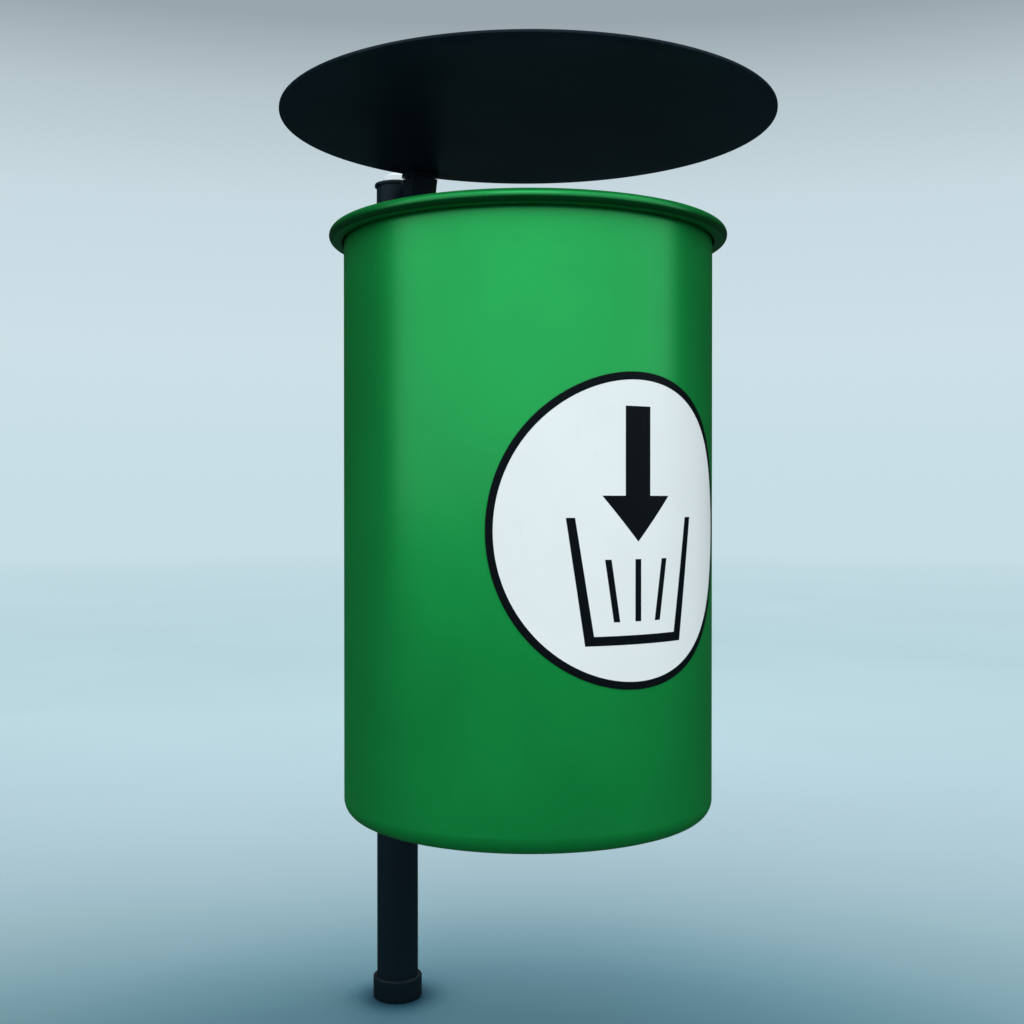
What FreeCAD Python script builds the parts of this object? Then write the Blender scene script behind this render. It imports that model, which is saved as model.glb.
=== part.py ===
"""Post-mounted round litter bin with a flat rain hood.

One STEP file is written per separate piece, in millimetres, +Z up. The origin is on the post's
axis at ground level, the bin hangs in front of the post towards -Y, and X is to the side.

Sub-assemblies: the post with its foot and cap, two clamped brackets, the arm that carries the
hood's hinge, the bin body, the hinged hood, and the lift-out liner with its two drop handles.
"""
import FreeCAD
import Part
import math
import os

Vector = FreeCAD.Vector
X_AXIS = Vector(1, 0, 0)
Y_AXIS = Vector(0, 1, 0)
Z_AXIS = Vector(0, 0, 1)

# ---------------------------------------------------------------- clearances
SEAT_GAP = 0.05         # between pieces that are pushed or welded together
RUN_GAP = 0.06          # radial play of a pin that turns in its hole
REST_GAP = 0.1          # under a piece that only rests by its weight
BOLT_GAP = 0.3          # radial play of a bolt in its hole
SIDE_GAP = 0.5          # between hinge knuckles, along their pin
CUT = 1.0               # how far a cutting shape runs past what it cuts

# ---------------------------------------------------------------- post and foot
POST_RADIUS = 25.4
POST_WALL = 2.6
COLLAR_WALL = 4.7
COLLAR_HEIGHT = 27.6
COLLAR_ROUNDING = 2.5
SLEEVE_WALL = 1.3
SLEEVE_LENGTH = 180.0
GRUB_RADIUS = 3.0
GRUB_SPREAD_DEG = 100.0
CAP_LIP_REACH = 2.3
CAP_LIP_HEIGHT = 3.5
CAP_LIP_ROUNDING = 1.0
CAP_PLUG_DEPTH = 22.0
CAP_WALL = 2.4
CONE_RADIUS = 18.2
CONE_TOP_RADIUS = 2.5
CONE_SIDE = 8.4          # its straight side, below the slope
CONE_SLOPE_DEG = 25.5
CONE_STEM_RADIUS = 4.0
CONE_STEM_LENGTH = 9.0

# ---------------------------------------------------------------- bin body
BODY_RADIUS = 190.0
BODY_WALL = 1.5
BODY_HEIGHT = 598.0
BODY_LIFT = 297.0       # ground to the underside of the body
POST_TO_BODY = 89.6     # free width between the post's and the body's surfaces
BASE_CORNER = 17.0
BASE_SKIRT = 8.0        # straight height of the base pan above its round corner
BASE_LAP = 12.0         # height of the base pan's flange inside the wall
RIM_REACH = 15.0
RIM_ROLL = 6.6
RIM_OPEN = 2.0          # slot between the rolled edge's end and the wall
DRAIN_RADIUS = 5.0
DRAIN_CIRCLE = 114.0    # radius of the circle that the drain holes are on
DRAIN_COUNT = 4
STICKER_RADIUS = 145.5
STICKER_THICKNESS = 0.3
STICKER_DROP = 5.6      # sticker's centre below the middle of the body

# ---------------------------------------------------------------- brackets
CLAMP_WALL = 4.0
CLAMP_HEIGHT = 40.0
CLAMP_EAR = 22.0        # how far an ear stands out from the ring
CLAMP_SPLIT = 4.0       # gap between the two halves' ears
CHANNEL_WALL = 3.0
CHANNEL_HEIGHT = 60.0
CHANNEL_BEND = 2.5
SADDLE_WALL = 3.0
SADDLE_WIDTH = 104.0
SADDLE_HEIGHT = 76.0
SADDLE_CORNER = 9.0
SADDLE_BOLT_ACROSS = 72.0
SADDLE_BOLT_UP = 46.0
UPPER_DROP = 75.0       # rim's top to the middle of the upper bracket
LOWER_RISE = 103.0      # body's underside to the middle of the lower bracket
M8_RADIUS = 4.0
M8_HEAD_HEIGHT = 5.3
M8_FLATS = 13.0
M8_NUT_HEIGHT = 6.5
M8_WASHER_RADIUS = 8.0
M8_WASHER_HEIGHT = 1.6
M8_TAIL = 3.0           # thread left standing past a nut
DOME_RADIUS = 8.5
DOME_HEIGHT = 3.6

# ---------------------------------------------------------------- hood arm and hinge
ARM_WIDTH = 32.0
ARM_DEPTH = 24.0
ARM_WALL = 2.0
ARM_TO_RIM = 28.0       # between the rim and the front of the arm
HEAD_HEIGHT = 29.0
HEAD_FLARE = 1.0        # how much wider the head's top is, on each side
HEAD_FRONT_FLARE = 3.0
PAD_HEIGHT = 2.0
PAD_INSET = 3.0
SHOE_HEIGHT = 5.0
SHOE_LIP = 1.0          # how far the shoe stands past the head
SHOE_BACK = 1.0         # shoe plate's back edge in front of the arm's back
PIN_RADIUS = 3.0
KNUCKLE_WALL = 2.0
KNUCKLE_BELOW_HOOD = 2.5
CENTRE_KNUCKLE = 11.0
OUTER_KNUCKLE = 5.5
PIN_HEAD_REACH = 1.5
PIN_HEAD_HEIGHT = 1.8
CLIP_THICKNESS = 1.0
CLIP_GROOVE = 0.9
CLIP_MOUTH = 1.8        # half the width of the clip's open front
STOP_REACH = 4.5        # how far a stop nose stands out past its knuckle
STOP_GAP = 0.3
HOOD_OPEN_DEG = 100.0
HOOD_REACH = 65.0       # how far the hood stands out past the body's wall
HOOD_THICKNESS = 3.0
HOOD_EDGE = 0.8
MOUTH_GAP = 116.7       # rim's top to the hood's underside
SCREW_RADIUS = 3.0
SCREW_HEAD_RADIUS = 5.25
SCREW_HEAD_HEIGHT = 3.0
SCREW_ACROSS = 26.0
SCREW_EDGE = 7.4        # screw centres from the shoe plate's front and back edges

# ---------------------------------------------------------------- liner
LINER_WALL = 1.0
LINER_GAP = 3.0         # between the liner's wall and the flat part of the base pan
LINER_BELOW_RIM = 12.0
LINER_RIM_REACH = 6.0
LINER_RIM_ROLL = 4.0
LINER_BASE_RISE = 8.0
LINER_DRAIN_RADIUS = 4.0
LINER_DRAIN_CIRCLE = 85.0
LINER_DRAIN_COUNT = 3
REST_HEIGHT = 8.0
REST_LENGTH = 14.0
REST_WIDTH = 26.0
REST_COUNT = 4
HANDLE_WIRE = 3.0       # radius of the handle's wire
HANDLE_HALF_WIDTH = 38.0
HANDLE_DROP = 45.0
HANDLE_BEND = 7.0
HANDLE_END = 13.0       # straight end of the wire, through and past the lug's eye
HANDLE_BELOW_TOP = 25.0
LUG_LENGTH = 10.0
LUG_WALL = 2.2
LUG_PLATE = 3.0
RIVET_RADIUS = 1.6
RIVET_HEAD_RADIUS = 3.2
RIVET_HEAD_HEIGHT = 1.2

# ---------------------------------------------------------------- places worked out from the above
RIM_RADIUS = BODY_RADIUS + RIM_REACH
BODY_INNER = BODY_RADIUS - BODY_WALL
BODY_Y = -(POST_RADIUS + POST_TO_BODY + BODY_RADIUS)
RIM_TOP = BODY_LIFT + BODY_HEIGHT
HOOD_Z = RIM_TOP + MOUTH_GAP
POST_TOP = HOOD_Z - CAP_LIP_HEIGHT
POST_INNER = POST_RADIUS - POST_WALL
COLLAR_RADIUS = POST_RADIUS + SEAT_GAP + COLLAR_WALL
UPPER_Z = RIM_TOP - UPPER_DROP
LOWER_Z = BODY_LIFT + LOWER_RISE
SADDLE_OUTER = BODY_RADIUS + SEAT_GAP + SADDLE_WALL
CLAMP_RADIUS = POST_RADIUS + SEAT_GAP + CLAMP_WALL
CHANNEL_OUTER = ARM_WIDTH / 2 + CHANNEL_WALL
ARM_FRONT = BODY_Y + RIM_RADIUS + ARM_TO_RIM
ARM_BACK = ARM_FRONT + ARM_DEPTH
HOOD_RADIUS = BODY_RADIUS + HOOD_REACH
SHOE_Z = HOOD_Z - SHOE_HEIGHT
HEAD_TOP = SHOE_Z - REST_GAP - PAD_HEIGHT
HEAD_Z = HEAD_TOP - HEAD_HEIGHT
SHOE_HALF = ARM_WIDTH / 2 + HEAD_FLARE + SHOE_LIP
SHOE_FRONT = ARM_FRONT - HEAD_FRONT_FLARE - SHOE_LIP
SHOE_REAR = ARM_BACK - SHOE_BACK
KNUCKLE_RADIUS = PIN_RADIUS + KNUCKLE_WALL
PIN_Y = ARM_BACK + SIDE_GAP + KNUCKLE_RADIUS
PIN_Z = HOOD_Z - KNUCKLE_BELOW_HOOD - KNUCKLE_RADIUS
KNUCKLE_END = CENTRE_KNUCKLE / 2 + SIDE_GAP + OUTER_KNUCKLE
LINER_RADIUS = BODY_RADIUS - BASE_CORNER - LINER_GAP
LINER_INNER = LINER_RADIUS - LINER_WALL
LINER_FLOOR = BODY_LIFT + BODY_WALL + REST_HEIGHT + REST_GAP
LINER_TOP = RIM_TOP - LINER_BELOW_RIM
HANDLE_Z = LINER_TOP - HANDLE_BELOW_TOP
EYE_RADIUS = HANDLE_WIRE + LUG_WALL
RIVET_RISE = EYE_RADIUS + SIDE_GAP + RIVET_HEAD_RADIUS
LUG_HALF = RIVET_RISE + RIVET_HEAD_RADIUS + SIDE_GAP
LUG_START = HANDLE_HALF_WIDTH + HANDLE_BEND + SIDE_GAP
LUG_FAR = LUG_START + LUG_LENGTH
LUG_MIDDLE = LUG_START + LUG_LENGTH / 2
HANDLE_X = math.sqrt(LINER_INNER**2 - LUG_FAR**2) - EYE_RADIUS - SIDE_GAP


# ---------------------------------------------------------------- shape helpers
def box(x_span, y_span, z_span):
    """A block between the given (low, high) pairs."""
    sizes = [high - low for low, high in (x_span, y_span, z_span)]
    return Part.makeBox(*sizes, Vector(x_span[0], y_span[0], z_span[0]))


def rod(radius, start, axis, length):
    """A solid cylinder from a start point along an axis."""
    return Part.makeCylinder(radius, length, Vector(*start), axis)


def ring(outer, inner, low, high, x=0.0, y=0.0):
    """An upright tube between two heights."""
    height = high - low
    return rod(outer, (x, y, low), Z_AXIS, height).cut(rod(inner, (x, y, low), Z_AXIS, height))


def on_circle(centre, radius, degrees):
    """A point of the radius and height plane, on a circle about a centre."""
    angle = math.radians(degrees)
    return centre[0] + radius * math.cos(angle), centre[1] + radius * math.sin(angle)


def outline(start, steps):
    """A closed face in the XZ plane. A step is one point for a line, or two for an arc through the first."""
    edges = []
    here = Vector(start[0], 0, start[1])
    for step in steps:
        points = [Vector(p[0], 0, p[1]) for p in step]
        if len(points) == 1:
            edges.append(Part.LineSegment(here, points[0]).toShape())
        else:
            edges.append(Part.Arc(here, points[0], points[1]).toShape())
        here = points[-1]
    first = Vector(start[0], 0, start[1])
    if here.distanceToPoint(first) > 1e-6:
        edges.append(Part.LineSegment(here, first).toShape())
    return Part.Face(Part.Wire(edges))


def turned(face, x=0.0, y=0.0):
    """A face of the XZ plane turned a full circle about Z, then put at x and y."""
    shape = face.revolve(Vector(0, 0, 0), Z_AXIS, 360)
    shape.translate(Vector(x, y, 0))
    return shape


def prism(points, z_low, z_high):
    """An upright prism on a list of (x, y) corners."""
    corners = [Vector(x, y, z_low) for x, y in points]
    face = Part.Face(Part.makePolygon(corners + corners[:1]))
    return face.extrude(Vector(0, 0, z_high - z_low))


def hexagon(flats, height):
    """A hexagonal prism standing on the origin along Z."""
    reach = flats / math.sqrt(3)
    points = [on_circle((0, 0), reach, 60 * n) for n in range(6)]
    return prism(points, 0, height)


def dome(radius, height):
    """A round head standing on the origin along Z, whose top is part of a sphere."""
    ball = (radius**2 + height**2) / (2 * height)
    sphere = Part.makeSphere(ball, Vector(0, 0, height - ball))
    return sphere.common(rod(radius, (0, 0, 0), Z_AXIS, height))


def aimed(shape, target, axis):
    """A copy of a shape made along Z at the origin, turned to an axis and moved to a target."""
    copy = shape.copy()
    move = FreeCAD.Placement(Vector(*target), FreeCAD.Rotation(Z_AXIS, axis))
    copy.Placement = move.multiply(shape.Placement)
    return copy


def about(shape, degrees, centre=(0.0, 0.0, 0.0), axis=Z_AXIS):
    """A turned copy of a shape."""
    copy = shape.copy()
    copy.rotate(Vector(*centre), axis, degrees)
    return copy


def fused(shapes):
    """One solid from several that meet, without the seams between them."""
    first, *rest = shapes
    return first.multiFuse(rest).removeSplitter()


def loose(shapes):
    """Several separate solids kept in one node."""
    return Part.makeCompound([solid for shape in shapes for solid in shape.Solids])


def along_y(shape):
    """The edges of a block that run from front to back."""
    return [e for e in shape.Edges if abs(e.Vertexes[0].Y - e.Vertexes[1].Y) > SEAT_GAP]


def mirrored(shape):
    """The same shape on the other side of the bin's middle plane."""
    return shape.mirror(Vector(0, 0, 0), X_AXIS)


# ---------------------------------------------------------------- post and foot
def post_tube():
    return ring(POST_RADIUS, POST_INNER, 0, POST_TOP)


def grub_angles():
    """The grub screws' directions, evenly spread about the back of the collar."""
    return [90 - GRUB_SPREAD_DEG / 2, 90 + GRUB_SPREAD_DEG / 2]


def grub_screw(degrees, radius, inner):
    """One set screw of the collar, from just outside the post to the collar's surface."""
    screw = rod(radius, (inner, 0, COLLAR_HEIGHT / 2), X_AXIS, COLLAR_RADIUS - inner)
    return about(screw, degrees)


def foot_collar():
    inner = POST_RADIUS + SEAT_GAP
    round_off = COLLAR_ROUNDING
    low = (COLLAR_RADIUS - round_off, round_off)
    high = (COLLAR_RADIUS - round_off, COLLAR_HEIGHT - round_off)
    face = outline((inner, 0), [
        [(COLLAR_RADIUS - round_off, 0)],
        [on_circle(low, round_off, -45), (COLLAR_RADIUS, round_off)],
        [(COLLAR_RADIUS, COLLAR_HEIGHT - round_off)],
        [on_circle(high, round_off, 45), (COLLAR_RADIUS - round_off, COLLAR_HEIGHT)],
        [(inner, COLLAR_HEIGHT)],
    ])
    holes = [grub_screw(a, GRUB_RADIUS + SEAT_GAP, POST_RADIUS) for a in grub_angles()]
    return turned(face).cut(loose(holes))


def collar_grub_screws():
    socket_depth = COLLAR_WALL / 2
    screws = []
    for angle in grub_angles():
        socket = aimed(hexagon(GRUB_RADIUS, socket_depth), (0, 0, 0), X_AXIS)
        socket.translate(Vector(COLLAR_RADIUS - socket_depth, 0, COLLAR_HEIGHT / 2))
        screws.append(grub_screw(angle, GRUB_RADIUS, POST_RADIUS + SEAT_GAP).cut(about(socket, angle)))
    return loose(screws)


def ground_sleeve():
    outer = POST_INNER - SEAT_GAP
    return ring(outer, outer - SLEEVE_WALL, 0, SLEEVE_LENGTH)


def post_cap():
    lip = POST_RADIUS + CAP_LIP_REACH
    top = POST_TOP + CAP_LIP_HEIGHT
    plug = POST_INNER - SEAT_GAP
    stem = CONE_STEM_RADIUS + SEAT_GAP
    edge = (lip - CAP_LIP_ROUNDING, top - CAP_LIP_ROUNDING)
    face = outline((stem, top), [
        [(edge[0], top)],
        [on_circle(edge, CAP_LIP_ROUNDING, 45), (lip, edge[1])],
        [(lip, POST_TOP)],
        [(plug, POST_TOP)],
        [(plug, POST_TOP - CAP_PLUG_DEPTH)],
        [(plug - CAP_WALL, POST_TOP - CAP_PLUG_DEPTH)],
        [(plug - CAP_WALL, top - CAP_LIP_HEIGHT)],
        [(stem, top - CAP_LIP_HEIGHT)],
    ])
    return turned(face)


def cap_cone():
    base = POST_TOP + CAP_LIP_HEIGHT
    shoulder = base + CONE_SIDE
    tip = shoulder + (CONE_RADIUS - CONE_TOP_RADIUS) * math.tan(math.radians(CONE_SLOPE_DEG))
    face = outline((0, base - CONE_STEM_LENGTH), [
        [(CONE_STEM_RADIUS, base - CONE_STEM_LENGTH)],
        [(CONE_STEM_RADIUS, base)],
        [(CONE_RADIUS, base)],
        [(CONE_RADIUS, shoulder)],
        [(CONE_TOP_RADIUS, tip)],
        [(0, tip)],
    ])
    return turned(face)


# ---------------------------------------------------------------- bin body
def saddle_bolt_places():
    """(turn about the body's axis, height) of each bolt that holds the body to a saddle."""
    swing = math.degrees(math.asin(SADDLE_BOLT_ACROSS / 2 / BODY_RADIUS))
    half = SADDLE_BOLT_UP / 2
    return [(side * swing, z + up * half)
            for z in (UPPER_Z, LOWER_Z) for side in (-1, 1) for up in (-1, 1)]


def at_saddle_bolts(made, from_axis):
    """Copies of a shape made along Z, set radially at every saddle bolt, from_axis off the body's axis."""
    copies = []
    for swing, height in saddle_bolt_places():
        shape = aimed(made(), (0, from_axis, height), Y_AXIS)
        shape.rotate(Vector(0, 0, 0), Z_AXIS, swing)
        shape.translate(Vector(0, BODY_Y, 0))
        copies.append(shape)
    return copies


def saddle_holes():
    """Clearance holes through the body's wall and a saddle."""
    depth = 2 * (BODY_WALL + SADDLE_WALL)
    start = BODY_INNER - BODY_WALL
    return loose(at_saddle_bolts(lambda: rod(M8_RADIUS + BOLT_GAP, (0, 0, 0), Z_AXIS, depth), start))


def body_shell():
    roll = RIM_ROLL
    inside = roll - BODY_WALL
    near = (BODY_INNER + roll, RIM_TOP - roll)
    far = (RIM_RADIUS - roll, RIM_TOP - roll)
    low = BODY_LIFT + BASE_CORNER + BASE_SKIRT
    end = BODY_RADIUS + RIM_OPEN
    face = outline((BODY_INNER, low), [
        [(BODY_INNER, near[1])],
        [on_circle(near, roll, 135), on_circle(near, roll, 90)],
        [on_circle(far, roll, 90)],
        [on_circle(far, roll, 0), on_circle(far, roll, -90)],
        [(end, RIM_TOP - 2 * roll)],
        [(end, RIM_TOP - 2 * roll + BODY_WALL)],
        [on_circle(far, inside, -90)],
        [on_circle(far, inside, 0), on_circle(far, inside, 90)],
        [on_circle(near, inside, 90)],
        [on_circle(near, inside, 135), on_circle(near, inside, 180)],
        [(BODY_RADIUS, low)],
    ])
    return turned(face, y=BODY_Y).cut(saddle_holes())


def base_pan():
    floor = BODY_LIFT
    corner = (BODY_RADIUS - BASE_CORNER, floor + BASE_CORNER)
    seam = floor + BASE_CORNER + BASE_SKIRT
    lap = BODY_INNER - SEAT_GAP
    inner_corner = BASE_CORNER - BODY_WALL
    step = seam - 2 * BODY_WALL
    face = outline((0, floor), [
        [(corner[0], floor)],
        [on_circle(corner, BASE_CORNER, -45), (BODY_RADIUS, corner[1])],
        [(BODY_RADIUS, seam)],
        [(lap, seam)],
        [(lap, seam + BASE_LAP)],
        [(lap - BODY_WALL, seam + BASE_LAP)],
        [(lap - BODY_WALL, seam)],
        [(BODY_INNER, step)],
        [(BODY_INNER, corner[1])],
        [on_circle(corner, inner_corner, -45), (corner[0], floor + BODY_WALL)],
        [(0, floor + BODY_WALL)],
    ])
    drain = rod(DRAIN_RADIUS, (DRAIN_CIRCLE, 0, floor - CUT), Z_AXIS, BODY_WALL + 2 * CUT)
    drains = [about(drain, 360 * n / DRAIN_COUNT) for n in range(DRAIN_COUNT)]
    pan = turned(face).cut(loose(drains))
    pan.translate(Vector(0, BODY_Y, 0))
    return pan


def liner_rests():
    """Rubber blocks on the base pan, under the liner's wall."""
    floor = BODY_LIFT + BODY_WALL
    outer = LINER_RADIUS + LINER_GAP - SIDE_GAP
    blocks = []
    for n in range(REST_COUNT):
        block = box((outer - REST_LENGTH, outer), (-REST_WIDTH / 2, REST_WIDTH / 2),
                    (floor, floor + REST_HEIGHT))
        block = block.common(rod(outer, (0, 0, floor), Z_AXIS, REST_HEIGHT))
        block = about(block, 360 * (n + 0.5) / REST_COUNT)
        block.translate(Vector(0, BODY_Y, 0))
        blocks.append(block)
    return loose(blocks)


def sticker():
    """Round film on the front of the body, cut as a circle and bent to the wall."""
    middle = (BODY_LIFT + RIM_TOP) / 2 - STICKER_DROP
    half_turn = STICKER_RADIUS / BODY_RADIUS
    film = ring(BODY_RADIUS + STICKER_THICKNESS, BODY_RADIUS, middle - STICKER_RADIUS,
                middle + STICKER_RADIUS)
    chord = BODY_RADIUS * math.sin(half_turn)
    bent_circle = Part.Ellipse(Vector(0, 0, 0), STICKER_RADIUS, chord)
    face = Part.Face(Part.Wire(bent_circle.toShape()))
    cutter = face.extrude(Vector(0, 0, 2 * BODY_RADIUS))
    cutter.rotate(Vector(0, 0, 0), Z_AXIS, 90)
    cutter.rotate(Vector(0, 0, 0), X_AXIS, 90)
    cutter.translate(Vector(0, 0, middle))
    film = film.common(cutter)
    film.translate(Vector(0, BODY_Y, 0))
    return film


# ---------------------------------------------------------------- brackets
def clamp_half(z, side):
    """Half of a two-part pipe clamp: side -1 faces the body and 1 is the back."""
    low, high = z - CLAMP_HEIGHT / 2, z + CLAMP_HEIGHT / 2
    split = CLAMP_SPLIT / 2
    reach = CLAMP_RADIUS + CLAMP_EAR
    ears = box((-reach, reach), sorted((side * split, side * (split + CLAMP_WALL))), (low, high))
    shell = rod(CLAMP_RADIUS, (0, 0, low), Z_AXIS, CLAMP_HEIGHT)
    half = shell.common(box((-reach, reach), sorted((side * split, side * reach)), (low, high)))
    bore = rod(POST_RADIUS + SEAT_GAP, (0, 0, low), Z_AXIS, CLAMP_HEIGHT)
    holes = [rod(M8_RADIUS + BOLT_GAP, (x, -reach, z), Y_AXIS, 2 * reach) for x in clamp_bolt_x()]
    return fused([half, ears]).cut(bore).cut(loose(holes))


def clamp_bolt_x():
    """Where the clamp bolts stand, to each side of the post."""
    reach = CLAMP_RADIUS + CLAMP_EAR / 2 + M8_RADIUS / 2
    return (-reach, reach)


def clamp_stack(made):
    """Copies of a shape made along +Y from the clamp's split plane, at every clamp bolt."""
    return loose([aimed(made(), (x, 0, z), Y_AXIS) for z in (UPPER_Z, LOWER_Z) for x in clamp_bolt_x()])


def clamp_grip():
    """Half the thickness of the two ears and their split."""
    return CLAMP_SPLIT / 2 + CLAMP_WALL


def m8_washer():
    return ring(M8_WASHER_RADIUS, M8_RADIUS + BOLT_GAP, 0, M8_WASHER_HEIGHT)


def clamp_bolts():
    def bolt():
        under_head = clamp_grip() + M8_WASHER_HEIGHT
        tail = clamp_grip() + M8_WASHER_HEIGHT + M8_NUT_HEIGHT + M8_TAIL
        head = hexagon(M8_FLATS, M8_HEAD_HEIGHT)
        head.translate(Vector(0, 0, under_head))
        return fused([rod(M8_RADIUS, (0, 0, -tail), Z_AXIS, under_head + tail), head])
    return clamp_stack(bolt)


def clamp_washers():
    def pair():
        back, front = m8_washer(), m8_washer()
        back.translate(Vector(0, 0, clamp_grip()))
        front.translate(Vector(0, 0, -clamp_grip() - M8_WASHER_HEIGHT))
        return Part.makeCompound([back, front])
    return clamp_stack(pair)


def m8_nut():
    return hexagon(M8_FLATS, M8_NUT_HEIGHT).cut(rod(M8_RADIUS + SEAT_GAP, (0, 0, 0), Z_AXIS, M8_NUT_HEIGHT))


def clamp_nuts():
    def nut():
        shape = m8_nut()
        shape.translate(Vector(0, 0, -clamp_grip() - M8_WASHER_HEIGHT - M8_NUT_HEIGHT))
        return shape
    return clamp_stack(nut)


def channel(z, web_up):
    """Folded stand-off between a clamp and its saddle, with its web at the top or at the bottom."""
    low, high = z - CHANNEL_HEIGHT / 2, z + CHANNEL_HEIGHT / 2
    front, back = BODY_Y + BODY_RADIUS, -POST_RADIUS / 2
    outer = box((-CHANNEL_OUTER, CHANNEL_OUTER), (front, back), (low, high))
    web_z = high if web_up else low
    folded = [e for e in along_y(outer) if abs(e.Vertexes[0].Z - web_z) < SEAT_GAP]
    outer = outer.makeFillet(CHANNEL_BEND, folded)
    hollow = (low - CUT, high - CHANNEL_WALL) if web_up else (low + CHANNEL_WALL, high + CUT)
    outer = outer.cut(box((-ARM_WIDTH / 2, ARM_WIDTH / 2), (front - CUT, back + CUT), hollow))
    outer = outer.cut(rod(CLAMP_RADIUS, (0, 0, low), Z_AXIS, CHANNEL_HEIGHT))
    return outer.cut(rod(SADDLE_OUTER, (0, BODY_Y, low), Z_AXIS, CHANNEL_HEIGHT))


def saddle(z):
    """Curved plate between the channel and the body's wall."""
    low, high = z - SADDLE_HEIGHT / 2, z + SADDLE_HEIGHT / 2
    plate = ring(SADDLE_OUTER, BODY_RADIUS + SEAT_GAP, low, high, y=BODY_Y)
    blank = box((-SADDLE_WIDTH / 2, SADDLE_WIDTH / 2), (BODY_Y, 0), (low, high))
    blank = blank.makeFillet(SADDLE_CORNER, along_y(blank))
    return plate.common(blank).cut(saddle_holes())


def saddle_bolts():
    """Dome-headed bolts, with their heads inside the body."""
    def bolt():
        length = BODY_WALL + SEAT_GAP + SADDLE_WALL + M8_WASHER_HEIGHT + M8_NUT_HEIGHT + M8_TAIL
        head = aimed(dome(DOME_RADIUS, DOME_HEIGHT), (0, 0, -SEAT_GAP), -Z_AXIS)
        shank = rod(M8_RADIUS, (0, 0, -SEAT_GAP), Z_AXIS, length + SEAT_GAP)
        return fused([shank, head])
    flat = math.sqrt(BODY_INNER**2 - DOME_RADIUS**2)
    return loose(at_saddle_bolts(bolt, flat))


def saddle_washers():
    return loose(at_saddle_bolts(m8_washer, SADDLE_OUTER + SEAT_GAP))


def saddle_nuts():
    return loose(at_saddle_bolts(m8_nut, SADDLE_OUTER + 2 * SEAT_GAP + M8_WASHER_HEIGHT))


# ---------------------------------------------------------------- hood arm and hinge
def hood_arm():
    low = UPPER_Z - CHANNEL_HEIGHT / 2 + CHANNEL_WALL
    half = ARM_WIDTH / 2
    outer = box((-half, half), (ARM_FRONT, ARM_BACK), (low, HEAD_Z))
    inner = box((-half + ARM_WALL, half - ARM_WALL), (ARM_FRONT + ARM_WALL, ARM_BACK - ARM_WALL),
                (low - CUT, HEAD_Z + CUT))
    return outer.cut(inner)


def flare(height, reach, share):
    """How far a flare that starts upright stands out, at a share of its height."""
    radius = (reach**2 + height**2) / (2 * reach)
    return radius - math.sqrt(radius**2 - (share * height)**2)


def arm_head():
    half, height = ARM_WIDTH / 2, HEAD_HEIGHT
    side_mid = half + flare(height, HEAD_FLARE, 0.5)
    sides = outline((-half, HEAD_Z), [
        [(half, HEAD_Z)],
        [(side_mid, HEAD_Z + height / 2), (half + HEAD_FLARE, HEAD_TOP)],
        [(-half - HEAD_FLARE, HEAD_TOP)],
        [(-side_mid, HEAD_Z + height / 2), (-half, HEAD_Z)],
    ]).extrude(Vector(0, 2 * ARM_DEPTH, 0))
    sides.translate(Vector(0, ARM_BACK - 2 * ARM_DEPTH, 0))
    front_mid = ARM_FRONT - flare(height, HEAD_FRONT_FLARE, 0.5)
    front = outline((ARM_FRONT, HEAD_Z), [
        [(front_mid, HEAD_Z + height / 2), (ARM_FRONT - HEAD_FRONT_FLARE, HEAD_TOP)],
        [(ARM_BACK, HEAD_TOP)],
        [(ARM_BACK, HEAD_Z)],
    ]).extrude(Vector(0, 2 * ARM_WIDTH, 0))
    front.rotate(Vector(0, 0, 0), Z_AXIS, 90)
    front.translate(Vector(ARM_WIDTH, 0, 0))
    block = sides.common(front)
    knuckle = rod(KNUCKLE_RADIUS, (-CENTRE_KNUCKLE / 2, PIN_Y, PIN_Z), X_AXIS, CENTRE_KNUCKLE)
    web = box((-CENTRE_KNUCKLE / 2, CENTRE_KNUCKLE / 2), (ARM_BACK - CUT, PIN_Y),
              (PIN_Z - KNUCKLE_RADIUS, HEAD_TOP))
    bore = rod(PIN_RADIUS, (-ARM_WIDTH, PIN_Y, PIN_Z), X_AXIS, 2 * ARM_WIDTH)
    return fused([block, knuckle, web]).cut(bore)


def hood_rest_pad():
    half = ARM_WIDTH / 2 + HEAD_FLARE - PAD_INSET
    front = ARM_FRONT - HEAD_FRONT_FLARE + PAD_INSET
    return box((-half, half), (front, SHOE_REAR - PAD_INSET), (HEAD_TOP, HEAD_TOP + PAD_HEIGHT))


# ---------------------------------------------------------------- hood
def screw_places():
    """(x, y) of the screws that hold the hood to its shoe."""
    return [(side * SCREW_ACROSS / 2, y) for side in (-1, 1)
            for y in (SHOE_FRONT + SCREW_EDGE, SHOE_REAR - SCREW_EDGE)]


def hood_disc():
    low, high, edge = HOOD_Z, HOOD_Z + HOOD_THICKNESS, HOOD_EDGE
    round_at = HOOD_RADIUS - edge
    face = outline((0, low), [
        [(round_at, low)],
        [on_circle((round_at, low + edge), edge, -45), (HOOD_RADIUS, low + edge)],
        [(HOOD_RADIUS, high - edge)],
        [on_circle((round_at, high - edge), edge, 45), (round_at, high)],
        [(0, high)],
    ])
    holes = [rod(SCREW_RADIUS + BOLT_GAP, (x, y, low - CUT), Z_AXIS, HOOD_THICKNESS + 2 * CUT)
             for x, y in screw_places()]
    return turned(face, y=BODY_Y).cut(loose(holes))


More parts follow.
